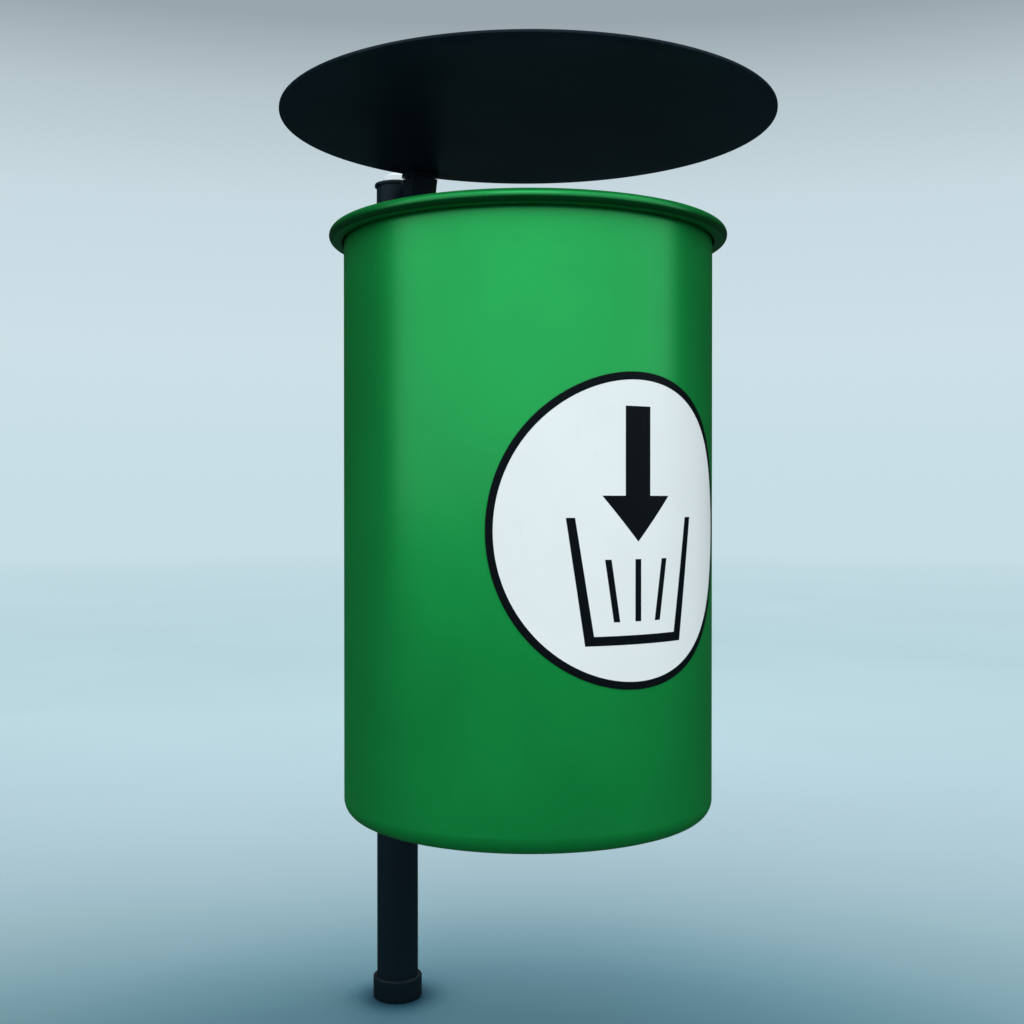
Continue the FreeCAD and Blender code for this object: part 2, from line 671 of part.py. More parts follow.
def outer_knuckle():
    """One of the shoe's knuckles, with the web to its plate and the nose that stops the hood."""
    start = CENTRE_KNUCKLE / 2 + SIDE_GAP
    span = (start, start + OUTER_KNUCKLE)
    barrel = rod(KNUCKLE_RADIUS, (start, PIN_Y, PIN_Z), X_AXIS, OUTER_KNUCKLE)
    web = box(span, (PIN_Y - KNUCKLE_RADIUS, PIN_Y), (PIN_Z, HOOD_Z))
    nose = box(span, (ARM_BACK + STOP_GAP, PIN_Y), (PIN_Z - KNUCKLE_RADIUS - STOP_REACH, PIN_Z))
    nose = about(nose, HOOD_OPEN_DEG, (0, PIN_Y, PIN_Z), X_AXIS)
    return fused([barrel, web, nose])


def hood_shoe():
    plate = box((-SHOE_HALF, SHOE_HALF), (SHOE_FRONT, SHOE_REAR), (SHOE_Z, HOOD_Z))
    start = CENTRE_KNUCKLE / 2 + SIDE_GAP
    tongue = box((start, start + OUTER_KNUCKLE), (SHOE_REAR - CUT, PIN_Y), (SHOE_Z, HOOD_Z))
    right = outer_knuckle()
    shoe = fused([plate, tongue, mirrored(tongue), right, mirrored(right)])
    bore = rod(PIN_RADIUS, (-ARM_WIDTH, PIN_Y, PIN_Z), X_AXIS, 2 * ARM_WIDTH)
    holes = [rod(SCREW_RADIUS + SEAT_GAP, (x, y, SHOE_Z - CUT), Z_AXIS, SHOE_HEIGHT + 2 * CUT)
             for x, y in screw_places()]
    return shoe.cut(bore).cut(loose(holes))


def hood_screws():
    screws = []
    for x, y in screw_places():
        head = dome(SCREW_HEAD_RADIUS, SCREW_HEAD_HEIGHT)
        socket = hexagon(SCREW_RADIUS, SCREW_HEAD_HEIGHT)
        socket.translate(Vector(0, 0, SCREW_HEAD_HEIGHT / 2))
        head = head.cut(socket)
        head.translate(Vector(x, y, HOOD_Z + HOOD_THICKNESS))
        shank = rod(SCREW_RADIUS, (x, y, SHOE_Z), Z_AXIS, SHOE_HEIGHT + HOOD_THICKNESS)
        screws.append(fused([head, shank]))
    return loose(screws)


def clip_start():
    """Where the retaining clip's groove begins, along the hinge pin."""
    return KNUCKLE_END + SIDE_GAP


def hood_hinge_pin():
    radius = PIN_RADIUS - RUN_GAP
    end = clip_start() + 2 * CLIP_THICKNESS + CLIP_GROOVE
    head_face = -KNUCKLE_END - SIDE_GAP
    shank = rod(radius, (head_face, PIN_Y, PIN_Z), X_AXIS, end - head_face)
    groove_width = CLIP_THICKNESS + 2 * SEAT_GAP
    groove = rod(radius + CUT, (clip_start(), PIN_Y, PIN_Z), X_AXIS, groove_width)
    groove = groove.cut(rod(radius - CLIP_GROOVE, (clip_start(), PIN_Y, PIN_Z), X_AXIS, groove_width))
    head = dome(PIN_RADIUS + PIN_HEAD_REACH, PIN_HEAD_HEIGHT)
    head = aimed(head, (head_face, PIN_Y, PIN_Z), -X_AXIS)
    return fused([shank.cut(groove), head])


def hood_hinge_clip():
    """Spring clip in the pin's groove, open at its front."""
    inner = PIN_RADIUS - RUN_GAP - CLIP_GROOVE + SEAT_GAP
    outer = KNUCKLE_RADIUS
    start = (clip_start() + SEAT_GAP, PIN_Y, PIN_Z)
    clip = rod(outer, start, X_AXIS, CLIP_THICKNESS).cut(rod(inner, start, X_AXIS, CLIP_THICKNESS))
    mouth = box((start[0], start[0] + CLIP_THICKNESS), (PIN_Y, PIN_Y + outer),
                (PIN_Z - CLIP_MOUTH, PIN_Z + CLIP_MOUTH))
    return clip.cut(mouth)


# ---------------------------------------------------------------- liner
def liner_shell():
    roll = LINER_RIM_ROLL
    inside = roll - LINER_WALL
    rim = LINER_RADIUS + LINER_RIM_REACH
    near = (LINER_INNER + roll, LINER_TOP - roll)
    far = (max(rim - roll, near[0]), LINER_TOP - roll)
    face = outline((LINER_INNER, LINER_FLOOR), [
        [(LINER_INNER, near[1])],
        [on_circle(near, roll, 135), on_circle(near, roll, 90)],
        *([[on_circle(far, roll, 90)]] if far[0] > near[0] else []),
        [on_circle(far, roll, 0), on_circle(far, roll, -90)],
        [on_circle(far, inside, -90)],
        [on_circle(far, inside, 0), on_circle(far, inside, 90)],
        *([[on_circle(near, inside, 90)]] if far[0] > near[0] else []),
        [on_circle(near, inside, 135), on_circle(near, inside, 180)],
        [(LINER_RADIUS, LINER_FLOOR)],
    ])
    return turned(face, y=BODY_Y).cut(rivet_set(RIVET_RADIUS + SEAT_GAP, with_heads=False))


def liner_base():
    """Pressed floor of the liner, with its flange turned down inside the wall."""
    outer = LINER_INNER - SEAT_GAP
    low, floor = LINER_FLOOR, LINER_FLOOR + LINER_BASE_RISE
    bend = 3 * LINER_WALL
    corner = (outer - bend, floor + LINER_WALL - bend)
    face = outline((0, floor), [
        [(corner[0], floor)],
        [on_circle(corner, bend - LINER_WALL, 45), (outer - LINER_WALL, corner[1])],
        [(outer - LINER_WALL, low)],
        [(outer, low)],
        [(outer, corner[1])],
        [on_circle(corner, bend, 45), (corner[0], floor + LINER_WALL)],
        [(0, floor + LINER_WALL)],
    ])
    drain = rod(LINER_DRAIN_RADIUS, (LINER_DRAIN_CIRCLE, 0, floor - CUT), Z_AXIS, LINER_WALL + 2 * CUT)
    drains = [about(drain, 360 * n / LINER_DRAIN_COUNT) for n in range(LINER_DRAIN_COUNT)]
    base = turned(face).cut(loose(drains))
    base.translate(Vector(0, BODY_Y, 0))
    return base


def rivet_set(radius, with_heads):
    """The rivets of all four lugs, as plain shanks or with their heads."""
    swing = math.degrees(math.asin(LUG_MIDDLE / LINER_INNER))
    start = math.sqrt((LINER_INNER - LUG_PLATE)**2 - RIVET_HEAD_RADIUS**2)
    rivets = []
    for side in (0, 180):
        for turn in (-swing, swing):
            for up in (-RIVET_RISE, RIVET_RISE):
                shape = rod(radius, (start, 0, 0), X_AXIS, LINER_RADIUS - start)
                if with_heads:
                    inner = aimed(dome(RIVET_HEAD_RADIUS, RIVET_HEAD_HEIGHT), (start, 0, 0), -X_AXIS)
                    outer = aimed(dome(RIVET_HEAD_RADIUS, RIVET_HEAD_HEIGHT), (LINER_RADIUS, 0, 0), X_AXIS)
                    shape = fused([shape, inner, outer])
                shape.rotate(Vector(0, 0, 0), Z_AXIS, side + turn)
                shape.translate(Vector(0, BODY_Y, HANDLE_Z + up))
                rivets.append(shape)
    return loose(rivets)


def lug_rivets():
    return rivet_set(RIVET_RADIUS, with_heads=True)


def handle_lugs():
    """Four lugs inside the liner's wall, each with an eye for the end of a handle."""
    lug_span = (LUG_START, LUG_FAR)
    plate = ring(LINER_INNER - SEAT_GAP, LINER_INNER - LUG_PLATE, -LUG_HALF, LUG_HALF)
    plate = plate.common(box((0, LINER_RADIUS), lug_span, (-LUG_HALF, LUG_HALF)))
    bridge = box((HANDLE_X, LINER_RADIUS), lug_span, (-EYE_RADIUS, EYE_RADIUS))
    inside = rod(LINER_INNER - LUG_PLATE / 2, (0, 0, -LUG_HALF), Z_AXIS, 2 * LUG_HALF)
    bridge = bridge.common(inside)
    eye = rod(EYE_RADIUS, (HANDLE_X, LUG_START, 0), Y_AXIS, LUG_LENGTH)
    hole = rod(HANDLE_WIRE + RUN_GAP, (HANDLE_X, LUG_START - CUT, 0), Y_AXIS, LUG_LENGTH + 2 * CUT)
    lug = fused([plate, bridge, eye]).cut(hole)
    lug.translate(Vector(0, 0, HANDLE_Z))
    pair = loose([lug, lug.mirror(Vector(0, 0, 0), Y_AXIS)])
    lugs = loose([pair, mirrored(pair)])
    lugs.translate(Vector(0, BODY_Y, 0))
    return lugs.cut(rivet_set(RIVET_RADIUS + SEAT_GAP, with_heads=False))


def drop_handle():
    """Bent wire of the handle on the +X side, hanging from its two ends."""
    half, bend, drop = HANDLE_HALF_WIDTH, HANDLE_BEND, HANDLE_DROP
    end = half + bend + HANDLE_END
    upper = (half + bend, -bend)
    lower = (half - bend, bend - drop)
    left = [((-end, 0),), ((-upper[0], 0),),
            ((-on_circle(upper, bend, 135)[0], on_circle(upper, bend, 135)[1]), (-half, upper[1])),
            ((-half, lower[1]),),
            ((-on_circle(lower, bend, -45)[0], on_circle(lower, bend, -45)[1]), (-lower[0], -drop))]
    right = [((lower[0], -drop),),
             (on_circle(lower, bend, -45), (half, lower[1])),
             ((half, upper[1]),),
             (on_circle(upper, bend, 135), (upper[0], 0)),
             ((end, 0),)]
    edges = []
    here = None
    for step in left + right:
        points = [Vector(HANDLE_X, BODY_Y + p[0], HANDLE_Z + p[1]) for p in step]
        if here is not None and len(points) == 1:
            edges.append(Part.LineSegment(here, points[0]).toShape())
        elif here is not None:
            edges.append(Part.Arc(here, points[0], points[1]).toShape())
        here = points[-1]
    start = Vector(HANDLE_X, BODY_Y - end, HANDLE_Z)
    section = Part.Wire(Part.Circle(start, Y_AXIS, HANDLE_WIRE).toShape())
    return Part.Solid(Part.Wire(edges).makePipeShell([section], True, False))


# ---------------------------------------------------------------- everything
def pieces():
    """Every node's name and shape."""
    handle = drop_handle()
    return {
        "post_tube": post_tube(),
        "foot_collar": foot_collar(),
        "collar_grub_screws": collar_grub_screws(),
        "ground_sleeve": ground_sleeve(),
        "post_cap": post_cap(),
        "cap_cone": cap_cone(),
        "body_shell": body_shell(),
        "base_pan": base_pan(),
        "liner_rests": liner_rests(),
        "sticker": sticker(),
        "upper_clamp_front": clamp_half(UPPER_Z, -1),
        "upper_clamp_back": clamp_half(UPPER_Z, 1),
        "upper_channel": channel(UPPER_Z, web_up=False),
        "upper_saddle": saddle(UPPER_Z),
        "lower_clamp_front": clamp_half(LOWER_Z, -1),
        "lower_clamp_back": clamp_half(LOWER_Z, 1),
        "lower_channel": channel(LOWER_Z, web_up=True),
        "lower_saddle": saddle(LOWER_Z),
        "clamp_bolts": clamp_bolts(),
        "clamp_washers": clamp_washers(),
        "clamp_nuts": clamp_nuts(),
        "saddle_bolts": saddle_bolts(),
        "saddle_washers": saddle_washers(),
        "saddle_nuts": saddle_nuts(),
        "hood_arm": hood_arm(),
        "arm_head": arm_head(),
        "hood_rest_pad": hood_rest_pad(),
        "hood_disc": hood_disc(),
        "hood_shoe": hood_shoe(),
        "hood_screws": hood_screws(),
        "hood_hinge_pin": hood_hinge_pin(),
        "hood_hinge_clip": hood_hinge_clip(),
        "liner_shell": liner_shell(),
        "liner_base": liner_base(),
        "handle_lugs": handle_lugs(),
        "lug_rivets": lug_rivets(),
        "handle_right": handle,
        "handle_left": mirrored(handle),
    }


def write_all():
    os.makedirs("parts", exist_ok=True)
    for name, shape in pieces().items():
        if not shape.isValid() or not shape.Solids:
            raise ValueError(f"{name} is not a set of valid solids")
        shape.exportStep(f"parts/{name}.step")
        print(f"{name}: {len(shape.Solids)} solid(s), {shape.Volume / 1000:.1f} cm3")


write_all()
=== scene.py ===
"""Finished looks of a round litter bin on a post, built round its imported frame.

Each sub-assembly is a class that holds its own sizes, builds its meshes and dresses them. Finishes
are small frozen classes that make node materials. Everything is in metres, in the frame's own axes:
+Z up, the post at the origin, and the bin in front of it towards -Y.
"""
import logging
import math
from dataclasses import dataclass, replace
from enum import Enum
from typing import Callable, Optional, Sequence, Union

import bpy
from mathutils import Matrix, Vector


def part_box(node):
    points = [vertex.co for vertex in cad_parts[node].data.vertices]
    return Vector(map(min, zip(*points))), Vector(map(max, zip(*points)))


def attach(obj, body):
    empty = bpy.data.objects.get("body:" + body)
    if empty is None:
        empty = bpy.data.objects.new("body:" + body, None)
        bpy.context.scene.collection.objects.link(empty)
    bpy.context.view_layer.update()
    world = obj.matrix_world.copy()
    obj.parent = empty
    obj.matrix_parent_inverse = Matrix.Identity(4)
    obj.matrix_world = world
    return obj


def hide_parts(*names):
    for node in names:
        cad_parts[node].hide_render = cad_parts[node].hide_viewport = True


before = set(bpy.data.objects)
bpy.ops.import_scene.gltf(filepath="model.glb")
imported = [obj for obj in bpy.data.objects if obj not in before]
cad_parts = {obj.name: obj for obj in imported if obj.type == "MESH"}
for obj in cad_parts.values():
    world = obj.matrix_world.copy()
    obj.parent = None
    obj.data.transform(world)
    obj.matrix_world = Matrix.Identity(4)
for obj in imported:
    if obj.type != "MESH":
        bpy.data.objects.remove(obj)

LOG = logging.getLogger("litter_bin")
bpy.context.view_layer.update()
MM = 0.001
TINY = 1e-6
RIM_HEIGHT = 0.0132
RIM_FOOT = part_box("body_shell")[1].z - RIM_HEIGHT

Obj = bpy.types.Object
Socket = bpy.types.NodeSocket
Point = Union[Vector, Sequence[float]]
Colour = tuple[float, float, float]
Spot = tuple[float, float]
Stop = tuple[float, Colour]


class Body(Enum):
    """The frame's bodies that pieces ride on."""
    STAND = "stand"
    HOOD = "hood"
    LINER = "liner"
    HANDLE_RIGHT = "handle_right"
    HANDLE_LEFT = "handle_left"


class Slot(Enum):
    """The record's material slots."""
    GREEN = "green_enamel"
    DARK = "dark_enamel"
    PALE = "pale_plastic"
    FILM = "sticker_film"
    RUBBER = "black_rubber"
    ZINC = "zinc_fastener"
    STAINLESS = "stainless_steel"
    GALVANISED = "galvanised_steel"


# ---------------------------------------------------------------- finishes
class Graph:
    """A node tree, with short calls for arithmetic and colours on its sockets."""

    def __init__(self, node_tree: bpy.types.NodeTree) -> None:
        """Holds the tree's nodes and links."""
        self.nodes = node_tree.nodes
        self.links = node_tree.links

    def kept(self, kind: str) -> bpy.types.Node:
        """The first node of a type."""
        return next(n for n in self.nodes if n.type == kind)

    def add(self, kind: str, **settings: object) -> bpy.types.Node:
        """Adds a node.

        Args:
            kind: its type's name, without the ShaderNode that starts it.
            settings: its properties.

        Returns:
            The node.
        """
        node = self.nodes.new("ShaderNode" + kind)
        for name, value in settings.items():
            setattr(node, name, value)
        return node

    def link(self, value: object, socket: Socket) -> None:
        """Sets a socket to a number or colour, or links another socket to it.

        Args:
            value: a number, vector, colour or socket.
            socket: the input it goes to.
        """
        if isinstance(value, bpy.types.NodeSocket):
            self.links.new(value, socket)
        elif socket.type == "RGBA" and len(value) == 3:
            socket.default_value = (*value, 1.0)
        else:
            socket.default_value = value

    def calc(self, operation: str, a: object, b: object = 0.0) -> Socket:
        """One step of arithmetic.

        Args:
            operation: the step's name.
            a: the first socket or number.
            b: the second one.

        Returns:
            The result's socket.
        """
        node = self.add("Math", operation=operation)
        self.link(a, node.inputs[0])
        self.link(b, node.inputs[1])
        return node.outputs[0]

    def vector(self, operation: str, a: object, b: object, output: str = "Vector") -> Socket:
        """One step of arithmetic on vectors or colours.

        Args:
            operation: the step's name.
            a: the first socket or vector.
            b: the second one, or the factor of a scaling.
            output: which result is wanted.

        Returns:
            The result's socket.
        """
        node = self.add("VectorMath", operation=operation)
        self.link(a, node.inputs[0])
        self.link(b, node.inputs["Scale"] if operation == "SCALE" else node.inputs[1])
        return node.outputs[output]

    def parts(self, vector: Socket) -> bpy.types.Node:
        """A node that gives a vector's X, Y and Z.

        Args:
            vector: the vector's socket.

        Returns:
            The node, with the outputs X, Y and Z.
        """
        node = self.add("SeparateXYZ")
        self.links.new(vector, node.inputs["Vector"])
        return node

    def spread(self, value: Socket, low: float, high: float, to_low: float, to_high: float,
               kind: str = "LINEAR") -> Socket:
        """A value's span from low to high, carried over to another span and held inside it.

        Args:
            value: the socket to carry over.
            low: start of its span.
            high: end of its span.
            to_low: what low becomes.
            to_high: what high becomes.
            kind: how it goes from one to the other.

        Returns:
            The carried socket.
        """
        node = self.add("MapRange", interpolation_type=kind)
        for index, number in enumerate((value, low, high, to_low, to_high)):
            self.link(number, node.inputs[index])
        return node.outputs["Result"]

    def mix(self, factor: object, a: object, b: object) -> Socket:
        """A colour between two.

        Args:
            factor: 0 for the first, 1 for the second.
            a: the first colour.
            b: the second colour.

        Returns:
            The colour's socket.
        """
        node = self.add("Mix", data_type="RGBA")
        self.link(factor, node.inputs["Factor"])
        for value, socket in zip((a, b), [s for s in node.inputs if s.type == "RGBA"]):
            self.link(value, socket)
        return next(s for s in node.outputs if s.type == "RGBA")

    def ramp(self, value: Socket, reach: float, stops: Sequence[Stop]) -> Socket:
        """A colour that follows a value.

        Args:
            value: the socket it follows.
            reach: the value at the ramp's end.
            stops: each stop's value and colour.

        Returns:
            The colour's socket.
        """
        node = self.add("ValToRGB")
        self.links.new(self.calc("DIVIDE", value, reach), node.inputs["Fac"])
        elements = node.color_ramp.elements
        while len(elements) < len(stops):
            elements.new(0.5)
        for element, (at, colour) in zip(elements, stops):
            element.position = at / reach
            element.color = (*colour, 1.0)
        return node.outputs["Color"]

    def either(self, factor: Socket, a: Socket, b: Socket) -> Socket:
        """A shader between two.

        Args:
            factor: 0 for the first, 1 for the second.
            a: the first shader.
            b: the second shader.

        Returns:
            The shader's socket.
        """
        node = self.add("MixShader")
        for value, socket in zip((factor, a, b), node.inputs):
            self.links.new(value, socket)
        return node.outputs[0]


class Tree(Graph):
    """A material's nodes, with the patterns that the finishes share."""

    def __init__(self, name: str) -> None:
        """Starts a material with one Principled shader and Object coordinates.

        Args:
            name: the material's name.
        """
        self.material = bpy.data.materials.new(name)
        self.material.use_nodes = True
        super().__init__(self.material.node_tree)
        self.shader = self.kept("BSDF_PRINCIPLED")
        self.place = self.add("TexCoord").outputs["Object"]

    def set(self, **values: object) -> None:
        """Sets the shader's inputs, named with underscores for spaces."""
        for name, value in values.items():
            self.link(value, self.shader.inputs[name.replace("_", " ")])

    def stretched(self, scale: Sequence[float]) -> Socket:
        """Object coordinates stretched along each axis.

        Args:
            scale: how many times more of the pattern each axis shows.

        Returns:
            The coordinates' socket.
        """
        node = self.add("Mapping")
        self.links.new(self.place, node.inputs["Vector"])
        node.inputs["Scale"].default_value = scale
        return node.outputs["Vector"]

    def noise(self, scale: float, detail: float = 3.0, rough: float = 0.5,
              place: Optional[Socket] = None) -> Socket:
        """A noise pattern from 0 to 1.

        Args:
            scale: features per metre.
            detail: octaves.
            rough: how strong the finer octaves are.
            place: coordinates, if not plain Object ones.

        Returns:
            The pattern's factor socket.
        """
        node = self.add("TexNoise")
        self.links.new(place or self.place, node.inputs["Vector"])
        for name, value in (("Scale", scale), ("Detail", detail), ("Roughness", rough)):
            node.inputs[name].default_value = value
        return node.outputs["Fac"]

    def cells(self, scale: float) -> Socket:
        """A pattern of flat cells, each with its own tone from 0 to 1.

        Args:
            scale: cells per metre.

        Returns:
            The tone's socket.
        """
        node = self.add("TexVoronoi")
        self.links.new(self.place, node.inputs["Vector"])
        node.inputs["Scale"].default_value = scale
        split = self.add("SeparateColor")
        self.links.new(node.outputs["Color"], split.inputs[0])
        return split.outputs[0]

    def distance(self, centre: Vector, along: Vector, squash: float = 1.0) -> Socket:
        """How far a point is from an upright axis.

        Args:
            centre: a point on the axis.
            along: a level direction of length 1.
            squash: what distances square to that direction are scaled by.

        Returns:
            The distance's socket.
        """
        squares = []
        for direction in (along, squash * Vector((along.y, -along.x, 0))):
            reached = self.vector("DOT_PRODUCT", self.place, direction, "Value")
            part = self.calc("SUBTRACT", reached, centre.dot(direction))
            squares.append(self.calc("MULTIPLY", part, part))
        return self.calc("SQRT", self.calc("ADD", *squares))

    def edges(self, radius: float) -> Socket:
        """1 on convex and concave edges, and 0 on smooth stretches.

        Args:
            radius: how near an edge is felt.

        Returns:
            The factor's socket.
        """
        bevel = self.add("Bevel", samples=4)
        bevel.inputs["Radius"].default_value = radius
        normal = self.add("NewGeometry").outputs["Normal"]
        return self.spread(self.vector("DOT_PRODUCT", bevel.outputs["Normal"], normal, "Value"),
                           0.998, 0.90, 0.0, 1.0)

    def crevices(self, reach: float) -> Socket:
        """1 deep in corners and under lips, and 0 in the open, from ambient occlusion; PowderCoat paints
        shade with it.

        Args:
            reach: the widest gap that counts as one.

        Returns:
            The factor's socket.
        """
        node = self.add("AmbientOcclusion", samples=6)
        node.inputs["Distance"].default_value = reach
        return self.spread(node.outputs["AO"], 0.35, 0.98, 1.0, 0.0)

    def upward_slope(self) -> Socket:
        """The upward part of a face's direction, from -1 to 1."""
        return self.parts(self.add("NewGeometry").outputs["Normal"]).outputs["Z"]

    def upward(self) -> Socket:
        """How much a face looks up, from 0 to 1."""
        return self.spread(self.upward_slope(), 0.3, 1.0, 0.0, 1.0)

    def bump(self, *layers: tuple[Socket, float]) -> None:
        """Bump layers on the shader's normal.

        Args:
            layers: pairs of a height pattern and its depth in metres.
        """
        normal = None
        for height, depth in layers:
            node = self.add("Bump")
            node.inputs["Strength"].default_value = 1.0
            node.inputs["Distance"].default_value = depth
            self.links.new(height, node.inputs["Height"])
            if normal:
                self.links.new(normal, node.inputs["Normal"])
            normal = node.outputs["Normal"]
        self.links.new(normal, self.shader.inputs["Normal"])


def shade(colour: Colour, factor: float) -> Colour:
    """A colour made lighter or darker by a factor."""
    return tuple(min(1.0, c * factor) for c in colour)


@dataclass(frozen=True)
class PowderCoat:
    """Baked enamel on steel: soft orange peel, faint clouding, painted shade in corners, dust and worn edges.

    Its flake is how much of the colour comes from metal flakes in the paint, its sheen tints the
    gloss at glancing angles, and its corner shade is how dark the painted shade is in corners and
    under lips no wider than its reach. Above its lip height the faces that don't look up get painted
    shade and the faces that look up get a painted highlight, as light from above falls on a rolled
    rim. Pattern sizes are in features per metre.
    """
    name: str
    colour: Colour
    worn: Colour
    roughness: float = 0.36
    gloss: float = 0.5
    coat: float = 0.25
    coat_roughness: float = 0.14
    flake: float = 0.0
    sheen: Colour = (1.0, 1.0, 1.0)
    peel: float = 0.00003
    peel_sizes: Sequence[float] = (210.0, 620.0)
    clouds: float = 9.0
    grains: float = 1400.0
    dust: float = 0.06
    dust_colour: Colour = (0.42, 0.41, 0.37)
    dust_clouds: float = 30.0
    dust_roughness: float = 0.12
    # Painted shade: how strongly corners and the space under lips, up to reach wide, are darkened, and the
    # tone they go to.
    corner_shade: float = 0.5
    corner_shade_tone: float = 0.12
    reach: float = 0.030
    wear: float = 0.55
    wear_width: float = 0.0012
    wear_patches: float = 160.0
    smears: float = 7.0
    smear_stretch: Sequence[float] = (1.0, 1.0, 0.35)
    # Painted light above the lip height: shade on faces that don't look up, a highlight on those that do.
    lip: Optional[float] = None
    lip_painted_shade: float = 0.86
    lip_shade: float = 0.08
    lip_highlight: float = 1.35

    def rim(self, tree: Tree, base: Socket) -> Socket:
        """Paints shade on faces above the lip height that don't look up, and a painted highlight on those
        that do.

        Args:
            tree: the material's nodes.
            base: the colour so far.

        Returns:
            The new colour's socket.
        """
        # Painted light on the rolled rim: its underside and front are darkened and its top lightened, as
        # light from above falls.
        height = tree.parts(tree.place).outputs["Z"]
        above = tree.spread(height, self.lip, self.lip + MM, 0.0, self.lip_painted_shade)
        slope = tree.upward_slope()
        lip_shade_mask = tree.calc("MULTIPLY", above, tree.spread(slope, -0.30, 0.62, 1.0, 0.0))
        base = tree.mix(lip_shade_mask, base, shade(self.colour, self.lip_shade))
        lip_highlight_mask = tree.calc("MULTIPLY", above, tree.spread(slope, 0.35, 0.75, 0.0, 1.0))
        return tree.mix(lip_highlight_mask, base, shade(self.colour, self.lip_highlight))

    def material(self) -> bpy.types.Material:
        """Makes the node material.

        Returns:
            The material.
        """
        tree = Tree(self.name)
        cloud = tree.spread(tree.noise(self.clouds, 4.0), 0.3, 0.7, 0.0, 1.0)
        base = tree.mix(cloud, shade(self.colour, 0.93), shade(self.colour, 1.05))
        grain = tree.spread(tree.noise(self.grains, 2.0), 0.35, 0.65, 0.0, 0.10)
        base = tree.mix(grain, base, shade(self.colour, 1.25))
        # Painted shade: the colour darkens in corners and under the rolled lip, where shadow falls.
        corner_shade_mix = tree.calc("MULTIPLY", tree.crevices(self.reach), self.corner_shade)
        base = tree.mix(corner_shade_mix, base, shade(self.colour, self.corner_shade_tone))
        if self.lip:
            base = self.rim(tree, base)
        patches = tree.spread(tree.noise(self.wear_patches, 4.0, 0.65), 0.50, 0.62, 0.0, 1.0)
        wear = tree.calc("MULTIPLY", tree.edges(self.wear_width), patches)
        base = tree.mix(tree.calc("MULTIPLY", wear, self.wear), base, self.worn)
        settled = tree.spread(tree.noise(self.dust_clouds, 5.0), 0.3, 0.8, 0.2, 1.0)
        film = tree.calc("MULTIPLY", tree.upward(), settled)
        base = tree.mix(tree.calc("MULTIPLY", film, self.dust), base, self.dust_colour)
        smears = tree.noise(self.smears, 3.0, 0.5, tree.stretched(self.smear_stretch))
        rough = tree.spread(smears, 0.3, 0.7, self.roughness - 0.04, self.roughness + 0.05)
        rough = tree.calc("ADD", rough, tree.calc("MULTIPLY", film, self.dust_roughness))
        tree.set(Base_Color=base, Roughness=rough, Specular_IOR_Level=self.gloss, Coat_Weight=self.coat,
                 Coat_Roughness=self.coat_roughness, Metallic=self.flake, Specular_Tint=self.sheen)
        broad, fine = self.peel_sizes
        tree.bump((tree.noise(broad, 2.0), self.peel), (tree.noise(fine, 2.0), self.peel * 0.3))
        return tree.material


@dataclass(frozen=True)
class PrintedFilm:
    """Vinyl film with faint ripples, fine scuffs and a soft gloss."""
    name: str
    colour: Colour
    roughness: float = 0.30
    gloss: float = 0.3
    coat: float = 0.1
    coat_roughness: float = 0.1
    clouds: float = 14.0
    scuffs: float = 60.0
    scuff_stretch: Sequence[float] = (6.0, 6.0, 0.6)
    ripples: float = 28.0
    ripple_depth: float = 0.00006
    grains: float = 700.0
    grain_depth: float = 0.000006

    def material(self) -> bpy.types.Material:
        """Makes the node material.

        Returns:
            The material.
        """
        tree = Tree(self.name)
        haze = tree.spread(tree.noise(self.clouds, 4.0), 0.3, 0.7, 0.0, 1.0)
        base = tree.mix(haze, shade(self.colour, 0.955), self.colour)
        scuffs = tree.noise(self.scuffs, 6.0, 0.7, tree.stretched(self.scuff_stretch))
        base = tree.mix(tree.spread(scuffs, 0.62, 0.72, 0.0, 0.10), base, shade(self.colour, 0.45))
        rough = tree.spread(scuffs, 0.4, 0.7, self.roughness, self.roughness + 0.12)
        tree.set(Base_Color=base, Roughness=rough, Specular_IOR_Level=self.gloss, Coat_Weight=self.coat,
                 Coat_Roughness=self.coat_roughness)
        tree.bump((tree.noise(self.ripples, 2.0), self.ripple_depth),
                  (tree.noise(self.grains, 2.0), self.grain_depth))
        return tree.material


@dataclass(frozen=True)
class Galvanised:
    """Hot-dip zinc with crystal spangle and dull streaks."""
    name: str
    light: Colour = (0.62, 0.65, 0.67)
    dark: Colour = (0.36, 0.39, 0.41)
    streak: Colour = (0.50, 0.50, 0.48)
    crystals: float = 95.0
    crystal_depth: float = 0.00001
    streaks: float = 16.0
    streak_stretch: Sequence[float] = (1.0, 1.0, 0.15)
    metal: float = 0.9
    grains: float = 240.0
    grain_depth: float = 0.00002

    def material(self) -> bpy.types.Material:
        """Makes the node material.

        Returns:
            The material.
        """
        tree = Tree(self.name)
        tone = tree.cells(self.crystals)
        base = tree.mix(tone, self.dark, self.light)
        streaks = tree.noise(self.streaks, 5.0, 0.6, tree.stretched(self.streak_stretch))
        base = tree.mix(tree.spread(streaks, 0.5, 0.75, 0.0, 0.5), base, self.streak)
        tree.set(Base_Color=base, Metallic=self.metal, Roughness=tree.spread(tone, 0.0, 1.0, 0.30, 0.52))
        tree.bump((tone, self.crystal_depth), (tree.noise(self.grains, 3.0), self.grain_depth))
        return tree.material


